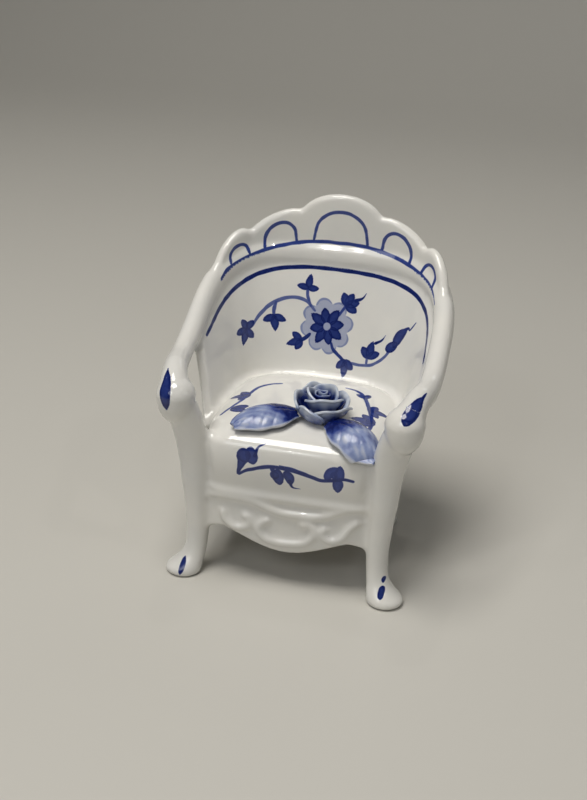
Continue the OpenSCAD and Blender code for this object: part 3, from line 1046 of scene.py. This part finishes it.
    @staticmethod
    def front_strokes() -> list[Stroke]:
        """Returns the strokes on the seat's front: a running vine with lobed leaves."""
        return [
            Stroke(
                ((-10.6, 27.8), (-9.2, 28.9), (-7.4, 29.7), (-3.9, 30.8), (0.1, 30.9), (5.5, 29.9),
                 (8.2, 29.3), (11.4, 29.8), (13.0, 30.2), (15.0, 29.9)),
                0.9, tone=0.88,
            ),
            Stroke(((10.8, 30.9),), 1.7, tone=0.84),
            Stroke(((-1.4, 31.5), (1.6, 31.2), (4.4, 30.5), (7.4, 29.4)), 0.4, tone=0.8),
            Stroke(((-9.6, 32.6), (-10.0, 31.0), (-10.9, 27.9)), 3.3, Touch.TAIL, tone=0.94),
            Stroke(((-9.9, 33.2), (-9.3, 31.6)), 2.7, Touch.BELLY),
            Stroke(((-8.2, 34.2), (-7.3, 31.0)), 2.9, Touch.BELLY),
            Stroke(((-7.0, 33.0), (-6.5, 34.8), (-5.0, 35.6)), 0.95, Touch.TAIL),
            Stroke(((-3.2, 30.8), (-2.6, 29.8)), 1.1, tone=0.85),
            Stroke(((-2.4, 29.0),), 2.1),
            Stroke(((-1.9, 30.2), (-1.3, 26.6)), 2.7, Touch.BELLY),
            Stroke(((0.0, 30.0), (0.9, 28.8), (1.2, 27.0)), 2.3, Touch.BELLY),
            Stroke(((1.0, 28.0), (1.6, 26.4), (3.4, 26.2)), 0.95, Touch.TAIL),
            Stroke(((9.0, 29.7), (10.0, 31.6), (11.7, 32.7)), 2.1, Touch.BELLY, tone=0.84),
            Stroke(((11.9, 29.7), (12.0, 33.2)), 2.3, Touch.BELLY, tone=0.86),
            Stroke(((11.7, 30.4), (11.7, 26.6)), 2.4, Touch.BELLY, tone=0.84),
        ]

    @staticmethod
    def toe_strokes() -> list[Stroke]:
        """Returns the short strokes on the front toes."""
        return [
            Stroke(((-22.9, 4.4), (-23.2, 2.4), (-23.4, 0.9)), 1.3, Touch.BELLY, tone=0.97),
            Stroke(((23.2, 6.6), (23.2, 5.4)), 0.9, Touch.BELLY, tone=0.95),
            Stroke(((23.1, 4.4), (23.1, 3.0)), 1.5, tone=0.97),
            Stroke(((25.6, 5.6), (26.8, 4.4), (27.1, 2.6)), 0.45, tone=0.8),
        ]

    def unroll(
        self, at: np.ndarray, out: np.ndarray
    ) -> list[tuple[np.ndarray, np.ndarray, list[Stroke]]]:
        """Lays each painted surface out flat.

        Args:
            at: Places on the chair.
            out: Outward directions there.

        Returns:
            For each ground, which places lie on it, their flat coordinates and its strokes.
        """
        plan = self.plan
        x, y, z = at.T
        phi = np.arctan2(y, x)
        r = np.hypot(x, y)
        inward = -(out[:, 0] * np.cos(phi) + out[:, 1] * np.sin(phi))
        turn = math.pi / 2 - np.where(phi < -math.pi / 2, phi + 2 * math.pi, phi)
        back = (inward > -0.2) & (z > 34) & (z < plan.rail_z(phi)) & (y > -19)
        back = back & (r > 12) & (r < plan.barrel_r(phi, z))
        above = z > plan.rail_z(phi) + 0.12 * plan.rail_h(phi)
        crest = (inward > -0.5) & above & (y > 1) & (r < plan.rail_r(phi) + 0.2)
        seat = (out[:, 2] > 0.55) & (z > 32) & (z < 39.5) & (r < 24)
        front = (out[:, 1] < -0.35) & (y < -16) & (z > 24) & (z < 36.6) & (np.abs(x) < 18.5)
        grounds = [
            (back, np.column_stack([self.back_unroll * turn, z]), self.back_strokes()),
            (crest, np.column_stack([self.crest_unroll * turn, z]), self.crest_strokes()),
            (seat & (y > -15), np.column_stack([x, y]), self.seat_strokes()),
            (front, np.column_stack([x, z]), self.front_strokes()),
        ]
        left = (x < -22) & (y < -17) & (z > 41) & (out @ (-0.33, -0.65, 0.68) > 0.1)
        across, upward = (0.892, -0.453, 0), (0.308, 0.607, 0.729)
        left_patch = ((-10.7, 6.8), (-11.2, 8.9), (-12.3, 11.4), (-14.3, 14.6))
        grounds.append((left, np.column_stack([at @ across, at @ upward]), [
            Stroke(left_patch, 2.8, Touch.BELLY, tone=1),
        ]))
        right = (x > 20) & (y < -15) & (z > 42) & (out @ (0.0, -0.53, 0.85) > 0.15)
        grounds.append((right, np.column_stack([x, -0.85 * y - 0.53 * z]), [
            Stroke(((25.5, -1.6), (26.5, -4.6), (28.2, -9.4)), 3.0, Touch.BELLY, tone=0.98),
            Stroke(((25.9, -3.0), (26.5, -4.8)), 2.7, tone=0.98),
            Stroke(((28.0, -8.6), (28.6, -10.8)), 0.8, Touch.TAIL),
        ]))
        toe = (z > 0.3) & (z < 7.5) & (y < -20) & (out[:, 1] < 0.3)
        grounds.append((toe, np.column_stack([x, z]), self.toe_strokes()))
        return grounds

    def lay(self, at: np.ndarray, out: np.ndarray) -> tuple[np.ndarray, np.ndarray]:
        """Paints places on the chair.

        Args:
            at: Places, one row each.
            out: Outward directions there.

        Returns:
            How much cobalt lies there, and how near a brush edge each place is.
        """
        tone = np.zeros(len(at))
        margin = np.full(len(at), 9.0)
        for mask, flat, strokes in self.unroll(at, out):
            if not mask.any():
                continue
            spots = flat[mask]
            wobble = 0.035 * np.sin(1.3 * spots[:, 0] + 1.9 * np.sin(1.7 * spots[:, 1]))
            laid = np.zeros(len(spots))
            near = np.full(len(spots), 9.0)
            for stroke in strokes:
                depth = stroke.depth(spots) + wobble
                cover = ease(depth / self.edge + 0.5)
                pooled = 1 - 0.16 * ease(depth / 0.8) if stroke.width > 1.2 else 1.0
                if stroke.lifts:
                    laid = mix(laid, stroke.tone, cover)
                elif len(stroke.points) == 1 and stroke.tone < PALE_TONE:
                    laid = np.maximum(laid, cover * stroke.tone)
                else:
                    laid = np.maximum(laid, cover * stroke.tone * pooled)
                near = np.minimum(near, np.abs(depth))
            tone[mask] = np.maximum(tone[mask], laid)
            margin[mask] = np.minimum(margin[mask], near)
        return tone, margin

    def thin_out(self, piece: bpy.types.Object) -> None:
        """Takes faces away from a crowded piece where nothing is painted."""
        if len(piece.data.polygons) < self.crowded:
            return
        _, margin = self.lay(Bench.corners(piece), Bench.normals(piece))
        plain = piece.vertex_groups.new(name="plain")
        plain.add(np.flatnonzero(margin > 1).tolist(), 1, "REPLACE")
        Bench.modify(piece, "DECIMATE", ratio=0.5, vertex_group="plain", vertex_group_factor=1)
        piece.vertex_groups.clear()

    def paint(self, piece: bpy.types.Object, rounds: Sequence[float] = (0.42, 0.2)) -> None:
        """Refines a piece along the brush edges and writes its cobalt.

        Args:
            piece: The fired piece.
            rounds: Width of the band that each round of refining takes.
        """
        self.thin_out(piece)
        for band in rounds:
            _, margin = self.lay(Bench.corners(piece), Bench.normals(piece))
            chosen = margin < band
            if not chosen.any():
                break
            Bench.pick(piece)
            bpy.ops.object.mode_set(mode="EDIT")
            bpy.ops.mesh.select_mode(type="VERT")
            bpy.ops.mesh.select_all(action="DESELECT")
            bpy.ops.object.mode_set(mode="OBJECT")
            piece.data.vertices.foreach_set("select", chosen)
            bpy.ops.object.mode_set(mode="EDIT")
            bpy.ops.mesh.select_mode(type="FACE")
            bpy.ops.mesh.select_mode(type="VERT")
            bpy.ops.mesh.subdivide(number_cuts=1)
            bpy.ops.object.mode_set(mode="OBJECT")
        tone, _ = self.lay(Bench.corners(piece), Bench.normals(piece))
        Bench.stain(piece, tone)


@dataclass(frozen=True)
class Petal:
    """One petal of the rose, in millimetres and degrees."""

    node: str
    middle: float
    spread: float
    low_r: float
    high_r: float
    low_z: float
    high_z: float
    lip: float
    point: float
    seed: float


@dataclass
class Rose:
    """Hand-pressed rose: a base, a rolled heart, three inner petals and five outer ones."""

    at: Point3 = (4.6, -10.6, 39.1)
    petal_t: float = 0.62
    base_r: float = 3.9
    petals: tuple[Petal, ...] = (
        Petal("inner_petal_1", 185, 165, 1.5, 3.2, 0.4, 6.1, 0.5, 0.15, 1.0),
        Petal("inner_petal_2", 292, 160, 1.9, 4.1, 0.2, 5.2, 0.9, 0.05, 2.3),
        Petal("inner_petal_3", 62, 170, 1.7, 3.8, 0.2, 6.2, 0.6, 0.2, 3.1),
        Petal("outer_petal_1", 118, 110, 2.8, 5.7, -1.0, 5.6, 0.6, 0.45, 0.4),
        Petal("outer_petal_2", 182, 96, 3.0, 6.0, -1.0, 4.9, 0.8, 0.1, 1.7),
        Petal("outer_petal_3", 243, 92, 3.3, 6.3, -1.2, 3.7, 0.5, 0.6, 2.9),
        Petal("outer_petal_4", 310, 118, 3.3, 6.2, -1.2, 3.6, 1.1, 0.05, 4.1),
        Petal("outer_petal_5", 30, 104, 3.0, 6.0, -1.0, 4.4, 1.1, 0.2, 5.2),
    )

    def form(self, petal: Petal) -> bpy.types.Object:
        """Presses one cupped petal with a rolled lip and a tucked side.

        Args:
            petal: The petal's sizes.

        Returns:
            The petal, stained with cobalt.
        """
        u = np.linspace(-1, 1, 21)[None, :]
        v = np.linspace(0, 1, 15)[:, None]
        edge = 1 - 0.3 * np.abs(u) ** 2.6 - petal.point * 0.5 * np.abs(u) ** 1.2
        edge = edge + 0.03 * np.sin(7 * u + petal.seed)
        up = v * edge
        curl = np.clip((v - 0.74) / 0.26, 0, 1) ** 1.6
        phi = np.radians(petal.middle + petal.spread / 2 * u * (0.9 + 0.1 * v))
        swell = np.sin(math.pi / 2 * np.clip(1.25 * up + 0.06, 0, 1.12)) ** 0.9
        r = mix(petal.low_r, petal.high_r, swell) + 0.38 * u
        r = r + curl * petal.lip * 0.6 + 0.14 * up * np.sin(4.2 * u + 2 * petal.seed)
        z = mix(petal.low_z, petal.high_z, up) - curl * petal.lip * 0.55
        rows = Plan.at(r, phi, z) + np.array(self.at)
        piece = Bench.sheet(petal.node, rows)
        Bench.modify(piece, "SOLIDIFY", thickness=self.petal_t, offset=-1, use_even_offset=True)
        Bench.modify(piece, "SUBSURF", levels=2, render_levels=2)
        Bench.stain(piece, self.wash(piece, petal))
        return piece

    def wash(self, piece: bpy.types.Object, petal: Petal) -> np.ndarray:
        """Washes a petal: pale at its lip, a thin wash lightened further as a painted highlight, darker
        down its face, and darkest in the hollow behind it, where painted shade is laid.

        Args:
            piece: The pressed petal.
            petal: Its sizes.

        Returns:
            How much cobalt lies on each corner.
        """
        places = Bench.corners(piece) - np.array(self.at)
        height = (places[:, 2] - petal.low_z) / (petal.high_z - petal.low_z)
        reach = np.maximum(np.hypot(places[:, 0], places[:, 1]), 0.1)
        inside = np.clip(-(Bench.normals(piece)[:, :2] * places[:, :2]).sum(1) / reach, 0, 1)
        # Paler towards the lip: a thinner wash, with a painted highlight on the petal's top.
        lip = ease((height - 0.35) / 0.6)
        # The inside term darkens faces turned into the rose's hollow: painted shade.
        tone = 0.56 - 0.44 * lip + 0.5 * inside * (1 - lip)
        patch = 0.1 * np.sin(1.9 * places[:, 0] + petal.seed)
        patch = patch * np.sin(2.3 * places[:, 1] + 1.3 * places[:, 2])
        brushed = 0.06 * np.sin(9 * np.arctan2(places[:, 1], places[:, 0]) + petal.seed)
        if petal.node == "outer_petal_4":
            tone = tone + 0.35 * ease((places[:, 0] - 1.6) / 2.5) * ease((2.6 - places[:, 2]) / 2)
        return np.clip(tone + patch + brushed, 0.08, 1)

    def heart(self) -> bpy.types.Object:
        """Rolls the heart out of one strip of clay and returns it, dark down its middle with cobalt and
        painted shade in its rolled hollow.
        """
        turn = np.linspace(0, math.radians(560), 64)[None, :]
        v = np.linspace(0, 1, 10)[:, None]
        r = 0.55 + 1.15 * turn / turn.max() + 0.25 * v**3
        z = (6.0 - 0.8 * turn / turn.max() + 0.15 * np.sin(2.5 * turn)) * v - 0.3
        piece = Bench.sheet("rose_heart", Plan.at(r, turn + math.radians(200), z) + np.array(self.at))
        Bench.modify(piece, "SOLIDIFY", thickness=0.42, offset=0, use_even_offset=True)
        Bench.modify(piece, "SUBSURF", levels=1, render_levels=1)
        places = Bench.corners(piece) - np.array(self.at)
        reach = np.hypot(places[:, 0], places[:, 1])
        # Full cobalt down the rolled hollow, which also serves as painted shade there; paler only at the
        # top of the outer turns.
        tone = 1.0 - 0.75 * ease((places[:, 2] - 4.3) / 1.1) * ease((reach - 0.5) / 0.7)
        Bench.stain(piece, tone)
        return piece

    def base(self) -> bpy.types.Object:
        """Flattens the pad of clay that the petals stand on and returns it."""
        Bench.pick()
        x, y, z = self.at
        low = z - 1.9
        bpy.ops.mesh.primitive_circle_add(
            vertices=48, radius=self.base_r, fill_type="NGON", location=(x, y, low)
        )
        pad = bpy.context.object
        pad.name = "rose_base"
        bpy.ops.object.transform_apply(location=True, rotation=True, scale=True)
        bpy.ops.object.mode_set(mode="EDIT")
        bpy.ops.mesh.select_all(action="SELECT")
        for rise, draw in ((1.1, 0.98), (0.5, 0.93), (0.4, 0.84)):
            bpy.ops.mesh.extrude_region_move(TRANSFORM_OT_translate={"value": (0, 0, rise)})
            bpy.ops.transform.resize(value=(draw, draw, 1), center_override=(x, y, low))
        bpy.ops.mesh.inset(thickness=0.8)
        bpy.ops.object.mode_set(mode="OBJECT")
        Bench.close(pad)
        Bench.modify(pad, "SUBSURF", levels=1, render_levels=1)
        Bench.stain(pad, np.full(len(pad.data.vertices), 0.5))
        return pad

    def build(self, glaze: bpy.types.Material) -> None:
        """Builds the rose and delivers each of its pieces.

        Args:
            glaze: The rose's washed glaze.
        """
        made = {petal.node: self.form(petal) for petal in self.petals}
        made["rose_heart"] = self.heart()
        made["rose_base"] = self.base()
        for node, piece in made.items():
            Bench.pick(piece)
            bpy.ops.object.shade_smooth()
            Bench.deliver(piece, node, Slot.ROSE, glaze)


@dataclass(frozen=True)
class Leaf:
    """One pressed leaf lying on the seat, in millimetres and degrees."""

    node: str
    root: Point2
    heading: float
    length: float
    width: float
    curve: float
    lift: float
    dark_side: float

    def build(self, plan: Plan, glaze: bpy.types.Material) -> None:
        """Presses the leaf, with its midrib and side veins, and delivers it.

        Args:
            plan: The chair's plan, whose seat the leaf follows.
            glaze: The leaves' glaze.
        """
        u = np.linspace(0, 1, 61)[:, None]
        v = np.linspace(-1, 1, 33)[None, :]
        body = np.clip(0.03 + 0.95 * u, 0, 1) ** 0.82
        half = self.width / 2 * np.sin(math.pi * body) ** 0.72
        half = half * (1 + 0.04 * np.sin(17 * u + 3 * np.sign(v)) * np.abs(v))
        way = np.radians(self.heading + self.curve * u)
        from_root = np.radians(self.heading + self.curve * u / 2)
        middle_x = self.root[0] + self.length * u * np.cos(from_root)
        middle_y = self.root[1] + self.length * u * np.sin(from_root)
        x = middle_x - v * half * np.sin(way)
        y = middle_y + v * half * np.cos(way)
        rib = np.exp(-((v * half / 0.34) ** 2)) * (1 - 0.6 * u)
        veins = np.abs(np.sin(math.pi * (5.5 * u - 1.1 * np.abs(v)))) ** 6
        veins = veins * np.abs(v) ** 0.5 * (1 - np.abs(v) ** 4)
        camber = 1.5 * (1 - np.abs(v) ** 2.2) * np.sin(math.pi * np.clip(u, 0.06, 0.97)) ** 0.6
        seat = plan.seat_top(x, y)
        z = np.minimum(seat, plan.dome_z) + 0.75 + camber - 0.26 * rib - 0.13 * veins + self.lift * u**2
        piece = Bench.sheet(self.node, np.stack(np.broadcast_arrays(x, y, z), axis=-1))
        Bench.stain(piece, self.tone(*np.broadcast_arrays(u, v), rib, veins).reshape(-1))
        Bench.modify(piece, "SOLIDIFY", thickness=1.0, offset=-1, use_even_offset=True)
        Bench.modify(piece, "SUBSURF", levels=1, render_levels=1)
        Bench.pick(piece)
        bpy.ops.object.shade_smooth()
        Bench.deliver(piece, self.node, Slot.LEAF, glaze)

    def tone(self, u: np.ndarray, v: np.ndarray, rib: np.ndarray, veins: np.ndarray) -> np.ndarray:
        """Washes the leaf from dark at its root to pale at its tip.

        Args:
            u: Share of the leaf's length.
            v: Share of its half width, less than nought on its right.
            rib: Depth of the midrib's groove.
            veins: Depth of the side veins.

        Returns:
            How much cobalt lies on each corner.
        """
        dark = ease((0.5 + 0.16 * self.dark_side * v - u) / 0.3)
        blotch = 0.13 * np.sin(9 * u + 4 * v) * np.sin(13 * u - 6 * v + 1)
        blotch = blotch + 0.06 * np.sin(31 * u + 17 * v)
        wash = mix(0.36, 1.06, dark) + blotch * (1 - 0.6 * dark)
        wash = wash + 0.14 * rib + 0.1 * veins
        wash = wash + 0.16 * ease((self.dark_side * v - 0.3) / 0.5) * (1 - dark)
        rim = ease((np.abs(v) - 0.86) / 0.12)
        return np.clip(wash * (1 - 0.85 * rim), 0, 1)


@dataclass(frozen=True)
class Glaze:
    """Clear glossy glaze over clay, with cobalt under it where the brush went."""

    name: str
    bare: tuple[float, float, float] = (0.80, 0.79, 0.755)
    thin: tuple[float, float, float] = (0.29, 0.335, 0.52)
    mid: tuple[float, float, float] = (0.034, 0.06, 0.26)
    full: tuple[float, float, float] = (0.002, 0.008, 0.095)
    mottle: float = 0.12
    speck_scale: float = 900
    gloss: float = 0.035
    bump: float = 0.08
    coat: float = 0.3

    def material(self) -> bpy.types.Material:
        """Mixes the glaze.

        Returns:
            The material, which reads the attribute "cobalt" and Object coordinates.
        """
        made = bpy.data.materials.new(self.name)
        made.use_nodes = True
        nodes, links = made.node_tree.nodes, made.node_tree.links
        shader = nodes["Principled BSDF"]
        place = nodes.new("ShaderNodeTexCoord")
        cobalt = nodes.new("ShaderNodeAttribute")
        cobalt.attribute_name = "cobalt"
        grain = nodes.new("ShaderNodeTexNoise")
        grain.inputs["Scale"].default_value = self.speck_scale
        grain.inputs["Detail"].default_value = 4
        links.new(place.outputs["Object"], grain.inputs["Vector"])
        sway = nodes.new("ShaderNodeMath")
        sway.operation = "MULTIPLY_ADD"
        sway.inputs[1].default_value = 2 * self.mottle
        sway.inputs[2].default_value = 1 - self.mottle
        links.new(grain.outputs["Fac"], sway.inputs[0])
        load = nodes.new("ShaderNodeMath")
        load.operation = "MULTIPLY"
        links.new(cobalt.outputs["Fac"], load.inputs[0])
        links.new(sway.outputs[0], load.inputs[1])
        ramp = nodes.new("ShaderNodeValToRGB")
        stops = ramp.color_ramp.elements
        stops[0].position, stops[0].color = 0.02, (*self.bare, 1)
        stops[1].position, stops[1].color = 1.0, (*self.full, 1)
        for position, colour in ((0.34, self.thin), (0.7, self.mid)):
            stop = stops.new(position)
            stop.color = (*colour, 1)
        links.new(load.outputs[0], ramp.inputs["Fac"])
        cloud = nodes.new("ShaderNodeTexNoise")
        cloud.inputs["Scale"].default_value = 90
        cloud.inputs["Detail"].default_value = 3
        links.new(place.outputs["Object"], cloud.inputs["Vector"])
        tint = nodes.new("ShaderNodeMix")
        tint.data_type = "RGBA"
        tint.blend_type = "MULTIPLY"
        tint.inputs["Factor"].default_value = 1
        shade = nodes.new("ShaderNodeValToRGB")
        shade.color_ramp.elements[0].position = 0.3
        shade.color_ramp.elements[0].color = (0.93, 0.935, 0.94, 1)
        shade.color_ramp.elements[1].position = 0.7
        shade.color_ramp.elements[1].color = (1, 0.995, 0.98, 1)
        links.new(cloud.outputs["Fac"], shade.inputs["Fac"])
        links.new(ramp.outputs["Color"], tint.inputs["A"])
        links.new(shade.outputs["Color"], tint.inputs["B"])
        links.new(tint.outputs["Result"], shader.inputs["Base Color"])
        self.surface(nodes, links, place, shader)
        return made

    def surface(
        self,
        nodes: bpy.types.Nodes,
        links: bpy.types.NodeLinks,
        place: bpy.types.Node,
        shader: bpy.types.Node,
    ) -> None:
        """Sets the glaze's gloss, its pinholes and its slow waves.

        Args:
            nodes: The material's nodes.
            links: The material's links.
            place: The node that gives Object coordinates.
            shader: The surface shader.
        """
        wave = nodes.new("ShaderNodeTexNoise")
        wave.inputs["Scale"].default_value = 260
        wave.inputs["Detail"].default_value = 2
        pins = nodes.new("ShaderNodeTexNoise")
        pins.inputs["Scale"].default_value = 2600
        pins.inputs["Detail"].default_value = 1
        links.new(place.outputs["Object"], wave.inputs["Vector"])
        links.new(place.outputs["Object"], pins.inputs["Vector"])
        rough = nodes.new("ShaderNodeMapRange")
        rough.inputs["From Min"].default_value = 0.35
        rough.inputs["From Max"].default_value = 0.75
        rough.inputs["To Min"].default_value = self.gloss
        rough.inputs["To Max"].default_value = self.gloss + 0.07
        links.new(pins.outputs["Fac"], rough.inputs["Value"])
        links.new(rough.outputs["Result"], shader.inputs["Roughness"])
        slow = nodes.new("ShaderNodeBump")
        slow.inputs["Strength"].default_value = self.bump
        slow.inputs["Distance"].default_value = 0.0003
        links.new(wave.outputs["Fac"], slow.inputs["Height"])
        links.new(slow.outputs["Normal"], shader.inputs["Normal"])
        shader.inputs["Coat Weight"].default_value = self.coat
        shader.inputs["Coat Roughness"].default_value = 0.02
        shader.inputs["IOR"].default_value = 1.52
        shader.inputs["Specular IOR Level"].default_value = 0.36


@dataclass(frozen=True)
class Bisque:
    """Bare fired clay, dry and slightly sandy."""

    name: str = "bisque"
    colour: tuple[float, float, float] = (0.70, 0.67, 0.61)

    def material(self) -> bpy.types.Material:
        """Mixes the bare clay and returns its material."""
        made = bpy.data.materials.new(self.name)
        made.use_nodes = True
        nodes, links = made.node_tree.nodes, made.node_tree.links
        shader = nodes["Principled BSDF"]
        place = nodes.new("ShaderNodeTexCoord")
        sand = nodes.new("ShaderNodeTexNoise")
        sand.inputs["Scale"].default_value = 2200
        sand.inputs["Detail"].default_value = 6
        links.new(place.outputs["Object"], sand.inputs["Vector"])
        ramp = nodes.new("ShaderNodeValToRGB")
        ramp.color_ramp.elements[0].color = (*(0.86 * c for c in self.colour), 1)
        ramp.color_ramp.elements[1].color = (*self.colour, 1)
        links.new(sand.outputs["Fac"], ramp.inputs["Fac"])
        links.new(ramp.outputs["Color"], shader.inputs["Base Color"])
        bump = nodes.new("ShaderNodeBump")
        bump.inputs["Strength"].default_value = 0.4
        bump.inputs["Distance"].default_value = 0.0001
        links.new(sand.outputs["Fac"], bump.inputs["Height"])
        links.new(bump.outputs["Normal"], shader.inputs["Normal"])
        shader.inputs["Roughness"].default_value = 0.85
        return made


@dataclass
class Studio:
    """Plain pale floor that curves up behind, soft lights and the camera."""

    camera_at: Point3 = (0.05146, -0.25106, 0.15112)
    pitch: float = 24
    azimuth: float = 12.5
    roll: float = 2.5
    lens: float = 54
    sensor_w: float = 36
    spots: tuple[Point3, ...] = (
        (-0.3, -0.25, 0.7), (0.1, -0.4, 0.75), (-0.08, 0.25, 0.8), (0.42, -0.2, 0.65),
        (-0.5, -0.5, 0.7), (0.22, -0.6, 0.6), (-0.15, -0.62, 0.55),
    )

    def floor(self) -> None:
        """Lays the floor, curved up into a backdrop far behind the chair."""
        x = np.linspace(-1.4, 1.4, 9)[None, :]
        run = np.linspace(0, 1, 40)[:, None]
        flat = mix(-1.0, 0.55, np.clip(run / 0.6, 0, 1))
        turn = np.clip((run - 0.6) / 0.25, 0, 1) * math.pi / 2
        y = flat + 0.35 * np.sin(turn)
        z = 0.35 * (1 - np.cos(turn)) + 1.2 * np.clip((run - 0.85) / 0.15, 0, 1)
        paper = Bench.sheet("studio_floor", np.stack(np.broadcast_arrays(x, y, z), axis=-1))
        Bench.pick(paper)
        bpy.ops.object.shade_smooth()
        pale = bpy.data.materials.new("pale_paper")
        pale.use_nodes = True
        shader = pale.node_tree.nodes["Principled BSDF"]
        shader.inputs["Base Color"].default_value = (0.60, 0.585, 0.54, 1)
        shader.inputs["Roughness"].default_value = 0.5
        paper.data.materials.append(pale)

    def camera(self) -> None:
        """Sets up the camera."""
        pitch, azimuth, roll = (math.radians(a) for a in (self.pitch, self.azimuth, self.roll))
        flat = math.cos(pitch)
        forward = Vector((-math.sin(azimuth) * flat, math.cos(azimuth) * flat, -math.sin(pitch)))
        level_right = Vector((math.cos(azimuth), math.sin(azimuth), 0))
        level_up = level_right.cross(forward)
        right = math.cos(roll) * level_right + math.sin(roll) * level_up
        up = math.cos(roll) * level_up - math.sin(roll) * level_right
        lens = bpy.data.cameras.new("camera")
        lens.lens = self.lens
        lens.sensor_width = self.sensor_w
        camera = bpy.data.objects.new("camera", lens)
        bpy.context.scene.collection.objects.link(camera)
        turned = Matrix((right, up, -forward)).transposed().to_4x4()
        camera.matrix_world = Matrix.Translation(self.camera_at) @ turned
        bpy.context.scene.camera = camera

    @staticmethod
    def lamp(name: str, at: Point3, size: float, power: float, colour: Point3) -> None:
        """Hangs one soft lamp aimed at the chair.

        Args:
            name: Its name.
            at: Its place, in metres.
            size: Its width, in metres.
            power: Its power, in watts.
            colour: Its colour.
        """
        light = bpy.data.lights.new(name, "AREA")
        light.shape = "DISK"
        light.size = size
        light.energy = power
        light.color = colour
        lamp = bpy.data.objects.new(name, light)
        bpy.context.scene.collection.objects.link(lamp)
        aim = Vector((0, 0, 0.035)) - Vector(at)
        lamp.matrix_world = Matrix.Translation(at) @ aim.to_track_quat("-Z", "Y").to_matrix().to_4x4()

    def build(self) -> None:
        """Sets up the floor, camera, lamps and surrounding light."""
        self.camera()
        self.floor()
        warm, cool = (1.0, 0.965, 0.91), (0.93, 0.96, 1.0)
        self.lamp("overhead_softbox", (-0.12, -0.14, 0.76), 0.36, 3.7, warm)
        self.lamp("front_softbox", (-0.3, -0.75, 0.6), 0.4, 1.15, cool)
        self.lamp("side_softbox", (0.8, -0.1, 0.4), 0.35, 0.14, cool)
        self.lamp("rear_softbox", (0.25, 0.9, 0.6), 0.4, 0.5, cool)
        for index, at in enumerate(self.spots):
            self.lamp(f"ceiling_spot_{index}", at, 0.014, 0.16, warm)
        bpy.context.scene.view_settings.view_transform = "Standard"
        world = bpy.data.worlds.new("room")
        world.use_nodes = True
        world.node_tree.nodes["Background"].inputs["Color"].default_value = (0.80, 0.82, 0.84, 1)
        world.node_tree.nodes["Background"].inputs["Strength"].default_value = 0.06
        bpy.context.scene.world = world


def dress_fired(
    fired: dict[str, bpy.types.Object], body: bpy.types.Object, painter: Painter
) -> None:
    """Paints the fired pieces and delivers them.

    Args:
        fired: The fired pieces by node name.
        body: The fused body, whose soft shading the pieces keep across their joints.
        painter: The painter of the cobalt.
    """
    glaze = Glaze("porcelain_glaze").material()
    bisque = Bisque().material()
    for node, piece in fired.items():
        painter.paint(piece)
        Bench.pick(piece)
        bpy.ops.object.shade_smooth()
        Bench.modify(
            piece, "DATA_TRANSFER", object=body, use_loop_data=True,
            data_types_loops={"CUSTOM_NORMAL"}, loop_mapping="POLYINTERP_NEAREST",
        )
        if node == "seat_floor":
            Bench.deliver(piece, node, Slot.BISQUE, bisque)
        else:
            Bench.deliver(piece, node, Slot.PORCELAIN, glaze)


def main() -> None:
    """Builds the chair from its clay pieces to the studio it stands in."""
    logging.basicConfig(level=logging.INFO, format="%(message)s")
    plan = Plan()
    clay = {**Limbs(plan).build(), **Barrel(plan).build(), **Seat(plan).build()}
    firing = Firing(voxel=0.34)
    body = firing.fuse(clay.values())
    LOG.info("fired body: %d faces", len(body.data.polygons))
    fired = firing.part(body, clay)
    for piece in clay.values():
        bpy.data.objects.remove(piece)
    dress_fired(fired, body, Painter(plan))
    bpy.data.objects.remove(body)
    rose_glaze = Glaze(
        "rose_wash", bare=(0.66, 0.70, 0.76), thin=(0.30, 0.36, 0.52), mottle=0.3
    )
    Rose().build(rose_glaze.material())
    leaf_glaze = Glaze(
        "leaf_wash", bare=(0.70, 0.71, 0.73), thin=(0.27, 0.33, 0.54), mottle=0.35, gloss=0.2, coat=0.12
    ).material()
    for leaf in (
        Leaf("left_leaf", (-0.5, -13.2), -159, 14.4, 8.6, 20, 0.0, -1),
        Leaf("right_leaf", (7.8, -15.8), -22, 13.8, 8.8, -20, 0.2, 1),
    ):
        leaf.build(plan, leaf_glaze)
    Studio().build()


if __name__ == "__main__":
    main()
